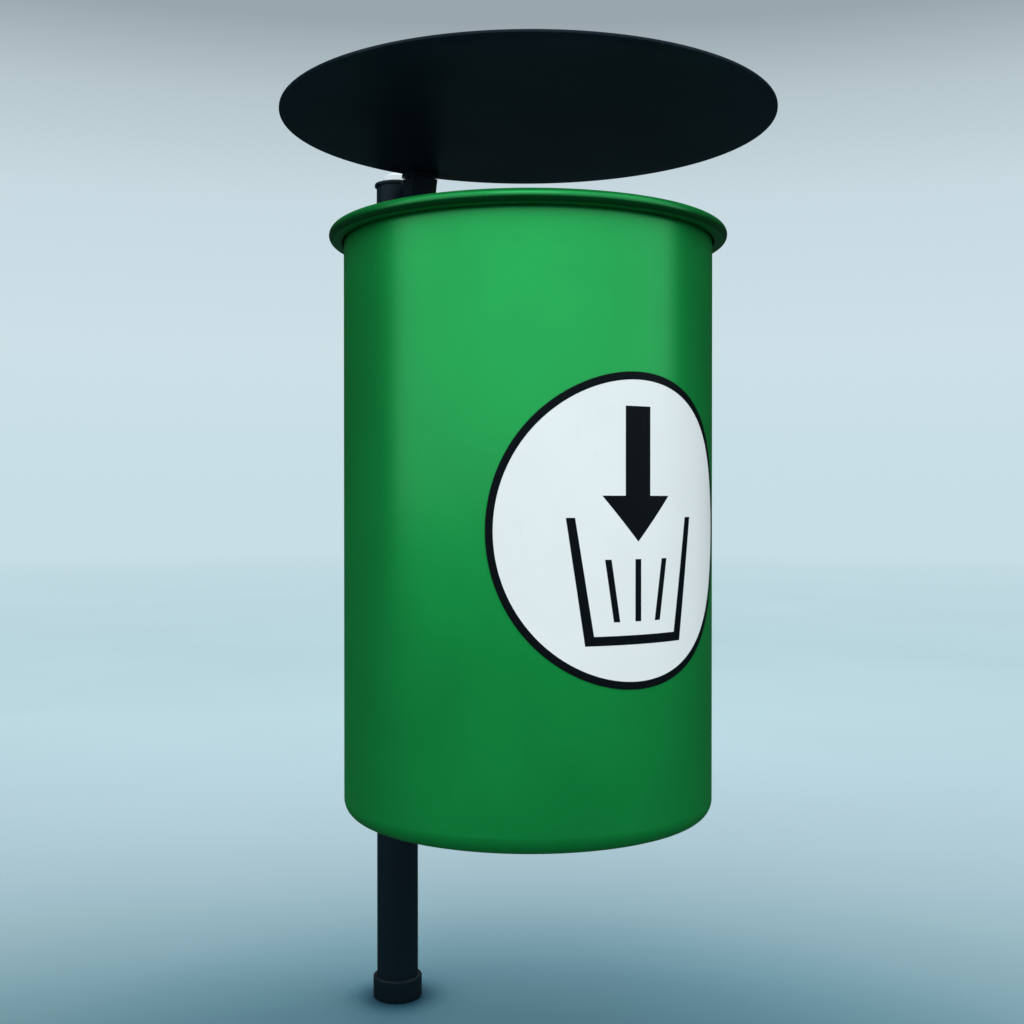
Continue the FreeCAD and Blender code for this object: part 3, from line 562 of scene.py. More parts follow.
@dataclass(frozen=True)
class MetalPlate:
    """Bare or plated steel with fine drawn lines and dulled patches."""
    name: str
    colour: Colour
    tarnish: Colour
    roughness: float = 0.28
    patches: float = 120.0
    patch_roughness: float = 0.18
    lines: float = 900.0
    line_stretch: Sequence[float] = (1.0, 1.0, 8.0)
    line_depth: float = 0.000006
    grains: float = 300.0
    grain_depth: float = 0.000012

    def material(self) -> bpy.types.Material:
        """Makes the node material.

        Returns:
            The material.
        """
        tree = Tree(self.name)
        patches = tree.spread(tree.noise(self.patches, 5.0, 0.6), 0.42, 0.68, 0.0, 0.7)
        base = tree.mix(patches, self.colour, self.tarnish)
        drawn = tree.noise(self.lines, 2.0, 0.5, tree.stretched(self.line_stretch))
        rough = tree.calc("ADD", tree.spread(drawn, 0.3, 0.7, self.roughness, self.roughness + 0.10),
                          tree.calc("MULTIPLY", patches, self.patch_roughness))
        tree.set(Base_Color=base, Metallic=1.0, Roughness=rough)
        tree.bump((drawn, self.line_depth), (tree.noise(self.grains, 3.0), self.grain_depth))
        return tree.material


@dataclass(frozen=True)
class Moulded:
    """Moulded plastic or rubber with a fine spark grain and rubbed edges."""
    name: str
    colour: Colour
    rubbed: Colour
    roughness: float = 0.5
    grain: float = 0.00002
    grains: float = 1500.0
    clouds: float = 25.0
    rub_width: float = 0.0010
    rub_patches: float = 220.0

    def material(self) -> bpy.types.Material:
        """Makes the node material.

        Returns:
            The material.
        """
        tree = Tree(self.name)
        cloud = tree.spread(tree.noise(self.clouds, 4.0), 0.3, 0.7, 0.0, 1.0)
        base = tree.mix(cloud, shade(self.colour, 0.92), self.colour)
        patches = tree.spread(tree.noise(self.rub_patches, 3.0), 0.4, 0.6, 0.2, 0.8)
        base = tree.mix(tree.calc("MULTIPLY", tree.edges(self.rub_width), patches), base, self.rubbed)
        spark = tree.noise(self.grains, 3.0, 0.6)
        rough = tree.spread(spark, 0.3, 0.7, self.roughness - 0.05, self.roughness + 0.08)
        tree.set(Base_Color=base, Roughness=rough)
        tree.bump((spark, self.grain))
        return tree.material


FINISHES = {
    Slot.GREEN: PowderCoat("green_powder_coat", (0.0095, 0.303, 0.061), (0.04, 0.36, 0.11),
                           roughness=0.33, gloss=0.25, coat=0.22, flake=0.60, sheen=(0.08, 0.62, 0.20),
                           peel=0.00002, dust=0.02, corner_shade=0.92, reach=0.040),
    Slot.DARK: PowderCoat("blue_black_powder_coat", (0.0040, 0.0106, 0.0158), (0.055, 0.070, 0.080),
                          roughness=0.38, gloss=0.07, coat=0.015, dust=0.03),
    Slot.PALE: Moulded("pale_moulded_cap", (0.80, 0.84, 0.86), (0.88, 0.90, 0.90), roughness=0.42),
    Slot.FILM: PrintedFilm("white_printed_film", (0.84, 0.825, 0.81)),
    Slot.RUBBER: Moulded("black_rubber", (0.018, 0.018, 0.019), (0.05, 0.05, 0.05), roughness=0.72,
                         grain=0.00004),
    Slot.ZINC: MetalPlate("zinc_plated_steel", (0.60, 0.60, 0.57), (0.42, 0.41, 0.36)),
    Slot.STAINLESS: MetalPlate("stainless_steel", (0.62, 0.62, 0.61), (0.50, 0.50, 0.48), roughness=0.22),
    Slot.GALVANISED: Galvanised("galvanised_sheet"),
}
# The wall's coat, with painted shade and a painted highlight on its rolled rim.
RIM_COAT = replace(FINISHES[Slot.GREEN], name="green_powder_coat_with_painted_rim_light", lip=RIM_FOOT)
BLACK_PRINT = PrintedFilm("black_print", (0.0020, 0.0034, 0.0050), roughness=0.34, gloss=0.05, coat=0.0)
WELD_COAT = PowderCoat("blue_black_powder_coat_on_welds", (0.0045, 0.0110, 0.0155), (0.055, 0.070, 0.080),
                       roughness=0.40, gloss=0.2, coat=0.02, peel=0.00008, dust=0.03)


class Palette:
    """Makes each finish's material once, when it is first asked for."""

    def __init__(self) -> None:
        """Starts with no material made."""
        self.made: dict[str, bpy.types.Material] = {}

    def of(self, finish: object) -> bpy.types.Material:
        """The material of a finish or of a slot.

        Args:
            finish: a finish, or a slot whose own finish is wanted.

        Returns:
            The material.
        """
        finish = FINISHES.get(finish, finish)
        if finish.name not in self.made:
            self.made[finish.name] = finish.material()
        return self.made[finish.name]


PALETTE = Palette()


# ---------------------------------------------------------------- modelling helpers
def deselect() -> None:
    """Leaves object mode active with nothing selected."""
    if bpy.context.mode != "OBJECT":
        bpy.ops.object.mode_set(mode="OBJECT")
    bpy.ops.object.select_all(action="DESELECT")


def pick(obj: Obj) -> Obj:
    """Selects one object only, and makes it the active one.

    Args:
        obj: the object.

    Returns:
        The same object.
    """
    deselect()
    obj.select_set(True)
    bpy.context.view_layer.objects.active = obj
    return obj


def edit(obj: Obj) -> None:
    """Opens an object in edit mode with all of it selected.

    Args:
        obj: the object.
    """
    pick(obj)
    bpy.ops.object.mode_set(mode="EDIT")
    bpy.ops.mesh.select_mode(type="VERT")
    bpy.ops.mesh.select_all(action="SELECT")


def edit_faces(obj: Obj, chosen: Callable[[bpy.types.MeshPolygon], bool]) -> None:
    """Opens an object in edit mode with only some faces selected.

    Args:
        obj: the object.
        chosen: tells which faces are selected.
    """
    edit(obj)
    bpy.ops.mesh.select_mode(type="FACE")
    bpy.ops.mesh.select_all(action="DESELECT")
    bpy.ops.object.mode_set(mode="OBJECT")
    for face in obj.data.polygons:
        face.select = chosen(face)
    bpy.ops.object.mode_set(mode="EDIT")


def close_mesh(obj: Obj, distance: float = TINY) -> None:
    """Merges doubles, turns the faces outwards and leaves edit mode.

    Args:
        obj: the object.
        distance: how near two vertices are to be one.
    """
    edit(obj)
    bpy.ops.mesh.remove_doubles(threshold=distance)
    bpy.ops.mesh.normals_make_consistent(inside=False)
    bpy.ops.object.mode_set(mode="OBJECT")


def settle(obj: Obj) -> Obj:
    """Puts an object's place, turn and scale into its mesh.

    Args:
        obj: the object.

    Returns:
        The same object.
    """
    pick(obj)
    bpy.ops.object.transform_apply(location=True, rotation=True, scale=True)
    return obj


def smooth(obj: Obj, degrees: float = 32.0) -> Obj:
    """Smooth shading that keeps edges sharper than an angle.

    Args:
        obj: the object.
        degrees: the angle.

    Returns:
        The same object.
    """
    pick(obj)
    bpy.ops.object.shade_smooth_by_angle(angle=math.radians(degrees))
    return obj


def apply_modifier(obj: Obj, kind: str, **values: object) -> Obj:
    """Adds a modifier, sets it and applies it.

    Args:
        obj: the object.
        kind: the modifier's type.
        values: its settings.

    Returns:
        The same object.
    """
    pick(obj)
    modifier = obj.modifiers.new(kind.lower(), kind)
    for name, value in values.items():
        setattr(modifier, name, value)
    bpy.ops.object.modifier_apply(modifier=modifier.name)
    return obj


def rounded(obj: Obj, width: float, segments: int = 3, degrees: float = 30.0) -> Obj:
    """Rounds an object's sharp edges."""
    return apply_modifier(obj, "BEVEL", width=width, segments=segments, limit_method="ANGLE",
                          angle_limit=math.radians(degrees), use_clamp_overlap=True, miter_outer="MITER_ARC")


def joined(objects: Sequence[Obj]) -> Obj:
    """Joins objects into the first one.

    Args:
        objects: the objects.

    Returns:
        The first one, which holds them all.
    """
    deselect()
    for obj in objects:
        obj.select_set(True)
    bpy.context.view_layer.objects.active = objects[0]
    if len(objects) > 1:
        bpy.ops.object.join()
    return objects[0]


def placed_copy(obj: Obj, move: Matrix) -> Obj:
    """A copy with its own mesh, moved by a matrix that goes into the mesh.

    Args:
        obj: the object to copy.
        move: the matrix.

    Returns:
        The copy.
    """
    copy = bpy.data.objects.new(obj.name + "_copy", obj.data.copy())
    bpy.context.scene.collection.objects.link(copy)
    copy.data.transform(move)
    return copy


def discard(obj: Obj) -> None:
    """Removes an object and its mesh.

    Args:
        obj: the object.
    """
    mesh = obj.data
    bpy.data.objects.remove(obj)
    bpy.data.meshes.remove(mesh)


def aim(target: Point, axis: Point) -> Matrix:
    """The matrix that turns +Z to an axis and moves the origin to a target."""
    turn = Vector((0, 0, 1)).rotation_difference(Vector(axis)).to_matrix().to_4x4()
    return Matrix.Translation(Vector(target)) @ turn


def cut_away(obj: Obj, tool: Obj, operation: str = "DIFFERENCE") -> Obj:
    """Takes a tool's shape away from an object, or keeps what they share, and discards the tool.

    Args:
        obj: the object that is cut.
        tool: the shape that cuts it.
        operation: the kind of cut.

    Returns:
        The cut object.
    """
    apply_modifier(obj, "BOOLEAN", operation=operation, object=tool, solver="EXACT")
    discard(tool)
    return obj


def cylinder(radius: float, low: Point, axis: Point, length: float, sides: int = 48) -> Obj:
    """A cylinder that starts at a point and runs along an axis, with its place in its mesh.

    Args:
        radius: its radius.
        low: the middle of its first end.
        axis: its direction.
        length: its length.
        sides: how many sides it has.

    Returns:
        The mesh object.
    """
    deselect()
    bpy.ops.mesh.primitive_cylinder_add(vertices=sides, radius=radius, depth=length, location=(0, 0, 0))
    obj = bpy.context.active_object
    obj.data.transform(aim(low, axis) @ Matrix.Translation((0, 0, length / 2)))
    return obj


class Section:
    """A section's outline, as (radius, height) points in drawing order."""

    def __init__(self, radius: float, height: float) -> None:
        """Starts the outline at one point."""
        self.points = [(radius, height)]

    def to(self, radius: float, height: float) -> "Section":
        """Goes straight to a point."""
        self.points.append((radius, height))
        return self

    def arc(self, radius: float, height: float, bend: float, start: float, end: float,
            steps: int = 10) -> "Section":
        """Follows an arc about a centre.

        Args:
            radius: the centre's radius.
            height: the centre's height.
            bend: the arc's own radius.
            start: its first direction, in degrees from outwards.
            end: its last direction.
            steps: how many chords it takes.

        Returns:
            The section itself.
        """
        for step in range(steps + 1):
            angle = math.radians(start + (end - start) * step / steps)
            self.points.append((radius + bend * math.cos(angle), height + bend * math.sin(angle)))
        return self

    def turned(self, centre: Point, sides: int = 160, closed: bool = True) -> Obj:
        """Extrudes one vertex along the outline and spins it a full turn.

        Args:
            centre: the upright axis's x and y.
            sides: steps of the spin.
            closed: whether the last point joins the first.

        Returns:
            The closed, smooth-shaded mesh object.
        """
        points = [Vector((centre[0] + r, centre[1], z)) for r, z in self.points]
        if closed:
            points.append(points[0].copy())
        deselect()
        bpy.ops.mesh.primitive_plane_add(size=MM, location=points[0])
        obj = bpy.context.active_object
        edit(obj)
        bpy.ops.mesh.merge(type="CENTER")
        for here, there in zip(points, points[1:]):
            bpy.ops.mesh.extrude_vertices_move(TRANSFORM_OT_translate={"value": there - here})
        bpy.ops.mesh.select_all(action="SELECT")
        bpy.ops.mesh.remove_doubles(threshold=TINY)
        bpy.ops.mesh.select_all(action="SELECT")
        bpy.ops.mesh.spin(steps=sides, angle=math.tau, center=(centre[0], centre[1], 0), axis=(0, 0, 1))
        bpy.ops.object.mode_set(mode="OBJECT")
        settle(obj)
        close_mesh(obj, 5 * TINY)
        return smooth(obj)


def copy_of_node(node: str) -> Obj:
    """A merged, flat-dissolved copy of a CAD node's mesh.

    Args:
        node: the node's name.

    Returns:
        The copy.
    """
    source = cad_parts[node]
    obj = bpy.data.objects.new(node + "_soft", source.data.copy())
    bpy.context.scene.collection.objects.link(obj)
    pick(obj)
    bpy.ops.mesh.customdata_custom_splitnormals_clear()
    edit(obj)
    bpy.ops.mesh.remove_doubles(threshold=2 * TINY)
    bpy.ops.mesh.dissolve_limited(angle_limit=math.radians(0.5))
    bpy.ops.object.mode_set(mode="OBJECT")
    return obj


def softened(node: str, width: float, segments: int = 2) -> Obj:
    """A CAD node's shape with its sharp edges rounded."""
    return smooth(rounded(copy_of_node(node), width, segments))


@dataclass(frozen=True)
class Solid:
    """One separate solid of a CAD node, measured along its own axis."""
    centre: Vector
    axis: Vector
    low: float
    high: float

    def at(self, along: float) -> Vector:
        """The point of the solid's axis at a distance along it."""
        return self.centre + self.axis * (along - self.centre.dot(self.axis))


def solids(node: str, axis_of: Callable[[Vector], Vector]) -> list[Solid]:
    """Finds each separate solid of a CAD node.

    Args:
        node: the node's name.
        axis_of: gives a solid's axis from its middle.

    Returns:
        The solids, in order of their middles.
    """
    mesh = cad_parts[node].data
    keys = [tuple(round(c / (5 * TINY)) for c in v.co) for v in mesh.vertices]
    owner: dict[tuple, tuple] = {key: key for key in keys}

    def root(key: tuple) -> tuple:
        """The key that stands for a whole solid.

        Args:
            key: any vertex of it.

        Returns:
            The solid's own key.
        """
        while owner[key] != key:
            owner[key] = owner[owner[key]]
            key = owner[key]
        return key

    for face in mesh.polygons:
        first = root(keys[face.vertices[0]])
        for index in face.vertices[1:]:
            owner[root(keys[index])] = first
    groups: dict[tuple, list[Vector]] = {}
    for key, vertex in zip(keys, mesh.vertices):
        groups.setdefault(root(key), []).append(vertex.co)
    found = []
    for points in groups.values():
        middle = Vector([(min(p[i] for p in points) + max(p[i] for p in points)) / 2 for i in range(3)])
        axis = axis_of(middle)
        reach = [p.dot(axis) for p in points]
        found.append(Solid(middle, axis, min(reach), max(reach)))
    return sorted(found, key=lambda s: tuple(round(c, 4) for c in s.centre))


def dress(obj: Obj, name: str, body: Body, slot: Slot, replaced: Sequence[str] = (),
          finish: object = None) -> Obj:
    """Names a finished piece, gives it its finish and ties it to the frame.

    Args:
        obj: the piece.
        name: its name.
        body: the body it rides on.
        slot: the record's slot it takes its finish from.
        replaced: the CAD nodes it stands for.
        finish: its finish, if it isn't the slot's own.

    Returns:
        The same object.
    """
    obj.name = name
    obj.data.name = name
    obj.data.materials.clear()
    obj.data.materials.append(PALETTE.of(finish or slot))
    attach(obj, body.value)
    if replaced:
        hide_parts(*replaced)
    LOG.info("%s: %d faces, rides on %s", name, len(obj.data.polygons), body.value)
    return obj


def refinish(slot: Slot, *nodes: str) -> None:
    """Gives carried-over CAD nodes a finish.

    Args:
        slot: the slot whose finish they get.
        nodes: the nodes' names.
    """
    for node in nodes:
        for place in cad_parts[node].material_slots:
            place.material = PALETTE.of(slot)
        LOG.info("%s: carried over with %s", node, PALETTE.of(slot).name)


def ripple_run(start: Point, end: Point, radius: float) -> Obj:
    """A straight weld bead of overlapping ripples.

    Args:
        start: the bead's first point.
        end: its last point.
        radius: its radius.

    Returns:
        The bead's mesh object.
    """
    start, end = Vector(start), Vector(end)
    along = end - start
    count = max(2, round(along.length / (radius * 0.55)))
    deselect()
    bpy.ops.mesh.primitive_uv_sphere_add(segments=12, ring_count=6, radius=radius, location=(0, 0, 0))
    ripple = bpy.context.active_object
    edit(ripple)
    bpy.ops.transform.resize(value=(1.0, 1.0, 0.62), center_override=(0, 0, 0))
    bpy.ops.object.mode_set(mode="OBJECT")
    ripple.data.transform(aim(start, along))
    step = along / (count - 1)
    apply_modifier(ripple, "ARRAY", count=count, use_relative_offset=False, use_constant_offset=True,
                   constant_offset_displace=step)
    return smooth(ripple, 60.0)


# ---------------------------------------------------------------- sub-assemblies
@dataclass
class Post:
    """The post's tube, its foot and its cap."""
    wall: float = 0.0026
    chamfer: float = 0.0006

    def tube(self) -> Obj:
        """The post's open tube, with its ends eased.

        Returns:
            The mesh object.
        """
        low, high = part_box("post_tube")
        outer = high.x
        inner = outer - self.wall
        ease = self.chamfer
        section = Section(inner, low.z + ease).to(inner, high.z - ease).to(inner + ease, high.z)
        section.to(outer - ease, high.z).to(outer, high.z - ease)
        for share in (0.75, 0.5, 0.25):
            section.to(outer, low.z + (high.z - low.z) * share)
        section.to(outer, low.z + ease).to(outer - ease, low.z).to(inner + ease, low.z)
        return section.turned((0, 0), 96)

    def build(self) -> None:
        """Builds and dresses the post's pieces."""
        dress(self.tube(), "post_pipe", Body.STAND, Slot.DARK, ["post_tube"])
        refinish(Slot.DARK, "foot_collar", "ground_sleeve", "post_cap")
        refinish(Slot.PALE, "cap_cone")
        refinish(Slot.ZINC, "collar_grub_screws")


@dataclass
class BinBody:
    """The rolled-rim wall, its base pan and the blocks under the liner."""
    wall: float = 0.0015
    roll: float = RIM_HEIGHT / 2
    rim_open: float = 0.0020
    seam_radius: float = 0.0011
    seam_short: float = 2.4
    seam_flat: Sequence[float] = (2.4, 0.45, 1.0)
    block_edge: float = 0.0012

    def __post_init__(self) -> None:
        """Reads the body's size from the frame."""
        low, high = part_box("body_shell")
        pan_low, pan_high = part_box("base_pan")
        self.centre = Vector(((low.x + high.x) / 2, (low.y + high.y) / 2))
        self.radius = (pan_high.x - pan_low.x) / 2
        self.rim = (high.x - low.x) / 2
        self.low, self.top = low.z, high.z

    def shell(self) -> Obj:
        """The wall with its rolled rim.

        Returns:
            The mesh object.
        """
        inner = self.radius - self.wall
        near, far = inner + self.roll, self.rim - self.roll
        mid = self.top - self.roll
        tight = self.roll - self.wall
        end = self.radius + self.rim_open
        section = Section(inner, self.low).to(inner, mid - self.roll)
        section.arc(near, mid, self.roll, 180, 90).arc(far, mid, self.roll, 90, -90, 22)
        section.to(end, mid - self.roll).to(end, mid - tight)
        section.arc(far, mid, tight, -90, 90, 22).arc(near, mid, tight, 90, 180)
        section.to(self.radius, mid - self.roll).to(self.radius, (self.low + mid) / 2)
        section.to(self.radius, self.low)
        return section.turned(self.centre, 192)

    def seam(self) -> Obj:
        """The wall's upright weld seam at the back, dressed flat.

        Returns:
            The mesh object.
        """
        y = self.centre.y + self.radius
        length = self.top - self.seam_short * self.roll - self.low
        bead = cylinder(self.seam_radius, (0, y, self.low), (0, 0, 1), length, 16)
        edit(bead)
        bpy.ops.mesh.subdivide(number_cuts=1)
        bpy.ops.transform.resize(value=self.seam_flat, center_override=(0, y, 0))
        bpy.ops.object.mode_set(mode="OBJECT")
        return smooth(bead, 60.0)

    def build(self) -> None:
        """Builds and dresses the body's pieces."""
        dress(self.shell(), "body_wall", Body.STAND, Slot.GREEN, ["body_shell"], RIM_COAT)
        dress(self.seam(), "wall_seam", Body.STAND, Slot.GREEN)
        blocks = softened("liner_rests", self.block_edge)
        dress(blocks, "liner_rest_blocks", Body.STAND, Slot.RUBBER, ["liner_rests"])
        refinish(Slot.GREEN, "base_pan")


@dataclass
class Sticker:
    """Round film on the wall: a white disc with a black ring and a plain basket-and-arrow mark."""
    body: BinBody
    ring_width: float = 0.0072
    film: float = 0.0003
    print_height: float = 0.00012
    strip: float = 0.0040
    basket_top: float = 0.064
    basket_foot: float = 0.046
    basket_high: float = 0.012
    basket_low: float = -0.104
    basket_line: float = 0.0085
    slat: float = 0.0065
    slat_low: float = -0.083
    slat_high: float = -0.026
    arrow_shaft: float = 0.0140
    arrow_head: float = 0.0380
    arrow_high: float = 0.114
    arrow_neck: float = 0.032
    arrow_tip: float = -0.010

    def __post_init__(self) -> None:
        """Reads the sticker's size from the frame."""
        low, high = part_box("sticker")
        self.height = (low.z + high.z) / 2
        self.radius = (high.z - low.z) / 2

    def flat(self, outline: Sequence[Spot], hole: Sequence[Spot] = ()) -> Obj:
        """A flat shape in the XZ plane from its outline, with a hole of as many points if asked.

        Args:
            outline: (across, up) points.
            hole: the hole's points, each beside the outline's.

        Returns:
            The flat mesh object.
        """
        deselect()
        bpy.ops.mesh.primitive_circle_add(vertices=len(outline), radius=1.0, fill_type="NOTHING",
                                          location=(0, 0, 0))
        obj = bpy.context.active_object
        for vertex, (across, up) in zip(obj.data.vertices, outline):
            vertex.co = (across, 0.0, up)
        edit(obj)
        if hole:
            bpy.ops.mesh.extrude_edges_move()
            bpy.ops.object.mode_set(mode="OBJECT")
            for vertex, (across, up) in zip(list(obj.data.vertices)[len(outline):], hole):
                vertex.co = (across, 0.0, up)
        else:
            bpy.ops.mesh.edge_face_add()
            bpy.ops.object.mode_set(mode="OBJECT")
        return obj

    def wrapped(self, obj: Obj, base: float, thickness: float) -> Obj:
        """Cuts a flat shape into upright strips, gives it thickness and bends it round the wall.

        Args:
            obj: the flat shape.
            base: how far its back stands off the wall.
            thickness: its own thickness.

        Returns:
            The same object.
        """
        reach = max(abs(v.co.x) for v in obj.data.vertices)
        count = int(reach / self.strip)
        for index in range(-count, count + 1):
            edit(obj)
            bpy.ops.mesh.bisect(plane_co=(index * self.strip, 0, 0), plane_no=(1, 0, 0))
        bpy.ops.object.mode_set(mode="OBJECT")
        edit(obj)
        bpy.ops.mesh.extrude_region_move(TRANSFORM_OT_translate={"value": (0, -thickness, 0)})
        bpy.ops.mesh.select_all(action="SELECT")
        bpy.ops.mesh.normals_make_consistent(inside=False)
        bpy.ops.object.mode_set(mode="OBJECT")
        for vertex in obj.data.vertices:
            turn = vertex.co.x / self.body.radius
            out = self.body.radius + base - vertex.co.y
            vertex.co = (self.body.centre.x + out * math.sin(turn),
                         self.body.centre.y - out * math.cos(turn), self.height + vertex.co.z)
        return smooth(obj, 25.0)

    def circle(self, radius: float, count: int = 144) -> list[Spot]:
        """Points of a flat circle."""
        angles = [math.tau * n / count for n in range(count)]
        return [(radius * math.cos(a), radius * math.sin(a)) for a in angles]

    def basket(self) -> list[Obj]:
        """The mark's open basket: two sloping sides and a foot, as one bent line, and its upright slats.

        Returns:
            The flat shapes it is made of.
        """
        top, foot, line = self.basket_top, self.basket_foot, self.basket_line
        high, low = self.basket_high, self.basket_low
        outline = [(-top - line, high), (-foot - line, low), (foot + line, low), (top + line, high),
                   (top, high), (foot, low + line), (-foot, low + line), (-top, high)]
        pieces = [self.flat(outline)]
        half = self.slat / 2
        for share in (-0.5, 0.0, 0.5):
            ends = ((share * foot, self.slat_low), (share * top, self.slat_high))
            (low_x, low_z), (high_x, high_z) = ends
            pieces.append(self.flat([(low_x - half, low_z), (low_x + half, low_z),
                                     (high_x + half, high_z), (high_x - half, high_z)]))
        return pieces

    def arrow(self) -> Obj:
        """The mark's broad arrow, pointing down into the basket.

        Returns:
            The flat shape.
        """
        shaft, head = self.arrow_shaft, self.arrow_head
        high, neck, tip = self.arrow_high, self.arrow_neck, self.arrow_tip
        return self.flat([(-shaft, high), (-shaft, neck), (-head, neck), (0.0, tip), (head, neck),
                          (shaft, neck), (shaft, high)])

    def build(self) -> None:
        """Builds and dresses the film, its ring and its mark."""
        disc = self.wrapped(self.flat(self.circle(self.radius)), 0.0, self.film)
        dress(disc, "sticker_disc", Body.STAND, Slot.FILM, ["sticker"])
        ring = self.flat(self.circle(self.radius), self.circle(self.radius - self.ring_width))
        dress(self.wrapped(ring, self.film, self.print_height), "sticker_ring", Body.STAND, Slot.FILM,
              finish=BLACK_PRINT)
        mark = [self.wrapped(shape, self.film, self.print_height) for shape in (*self.basket(), self.arrow())]
        dress(joined(mark), "sticker_mark", Body.STAND, Slot.FILM, finish=BLACK_PRINT)


@dataclass
class Brackets:
    """The clamps, folded stand-offs and saddles that hold the body to the post."""
    edge: float = 0.0008
    weld: float = 0.0022

    def welds(self, level: str) -> Obj:
        """The weld runs of one bracket: both its ends, on both sides.

        Args:
            level: upper or lower.

        Returns:
            The runs as one mesh object.
        """
        low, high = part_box(f"{level}_channel")
        ease = 2 * self.weld
        saddle_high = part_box(f"{level}_saddle")[1]
        body_low, body_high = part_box("base_pan")
        centre_y = (body_low.y + body_high.y) / 2
        plate = saddle_high.y - centre_y
        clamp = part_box(f"{level}_clamp_back")[1].y
        runs = []
        for side in (-1, 1):
            x = side * high.x
            front = centre_y + math.sqrt(plate**2 - x**2)
            back = -math.sqrt(clamp**2 - x**2)
            for y in (front, back):
                runs.append(ripple_run((x, y, low.z + ease), (x, y, high.z - ease), self.weld))
        return joined(runs)

    def build(self) -> None:
        """Builds and dresses both brackets."""
        for level in ("upper", "lower"):
            for part in ("clamp_front", "clamp_back", "channel", "saddle"):
                node = f"{level}_{part}"
                dress(softened(node, self.edge), node + "_plate", Body.STAND, Slot.DARK, [node])
            dress(self.welds(level), f"{level}_bracket_welds", Body.STAND, Slot.DARK, finish=WELD_COAT)


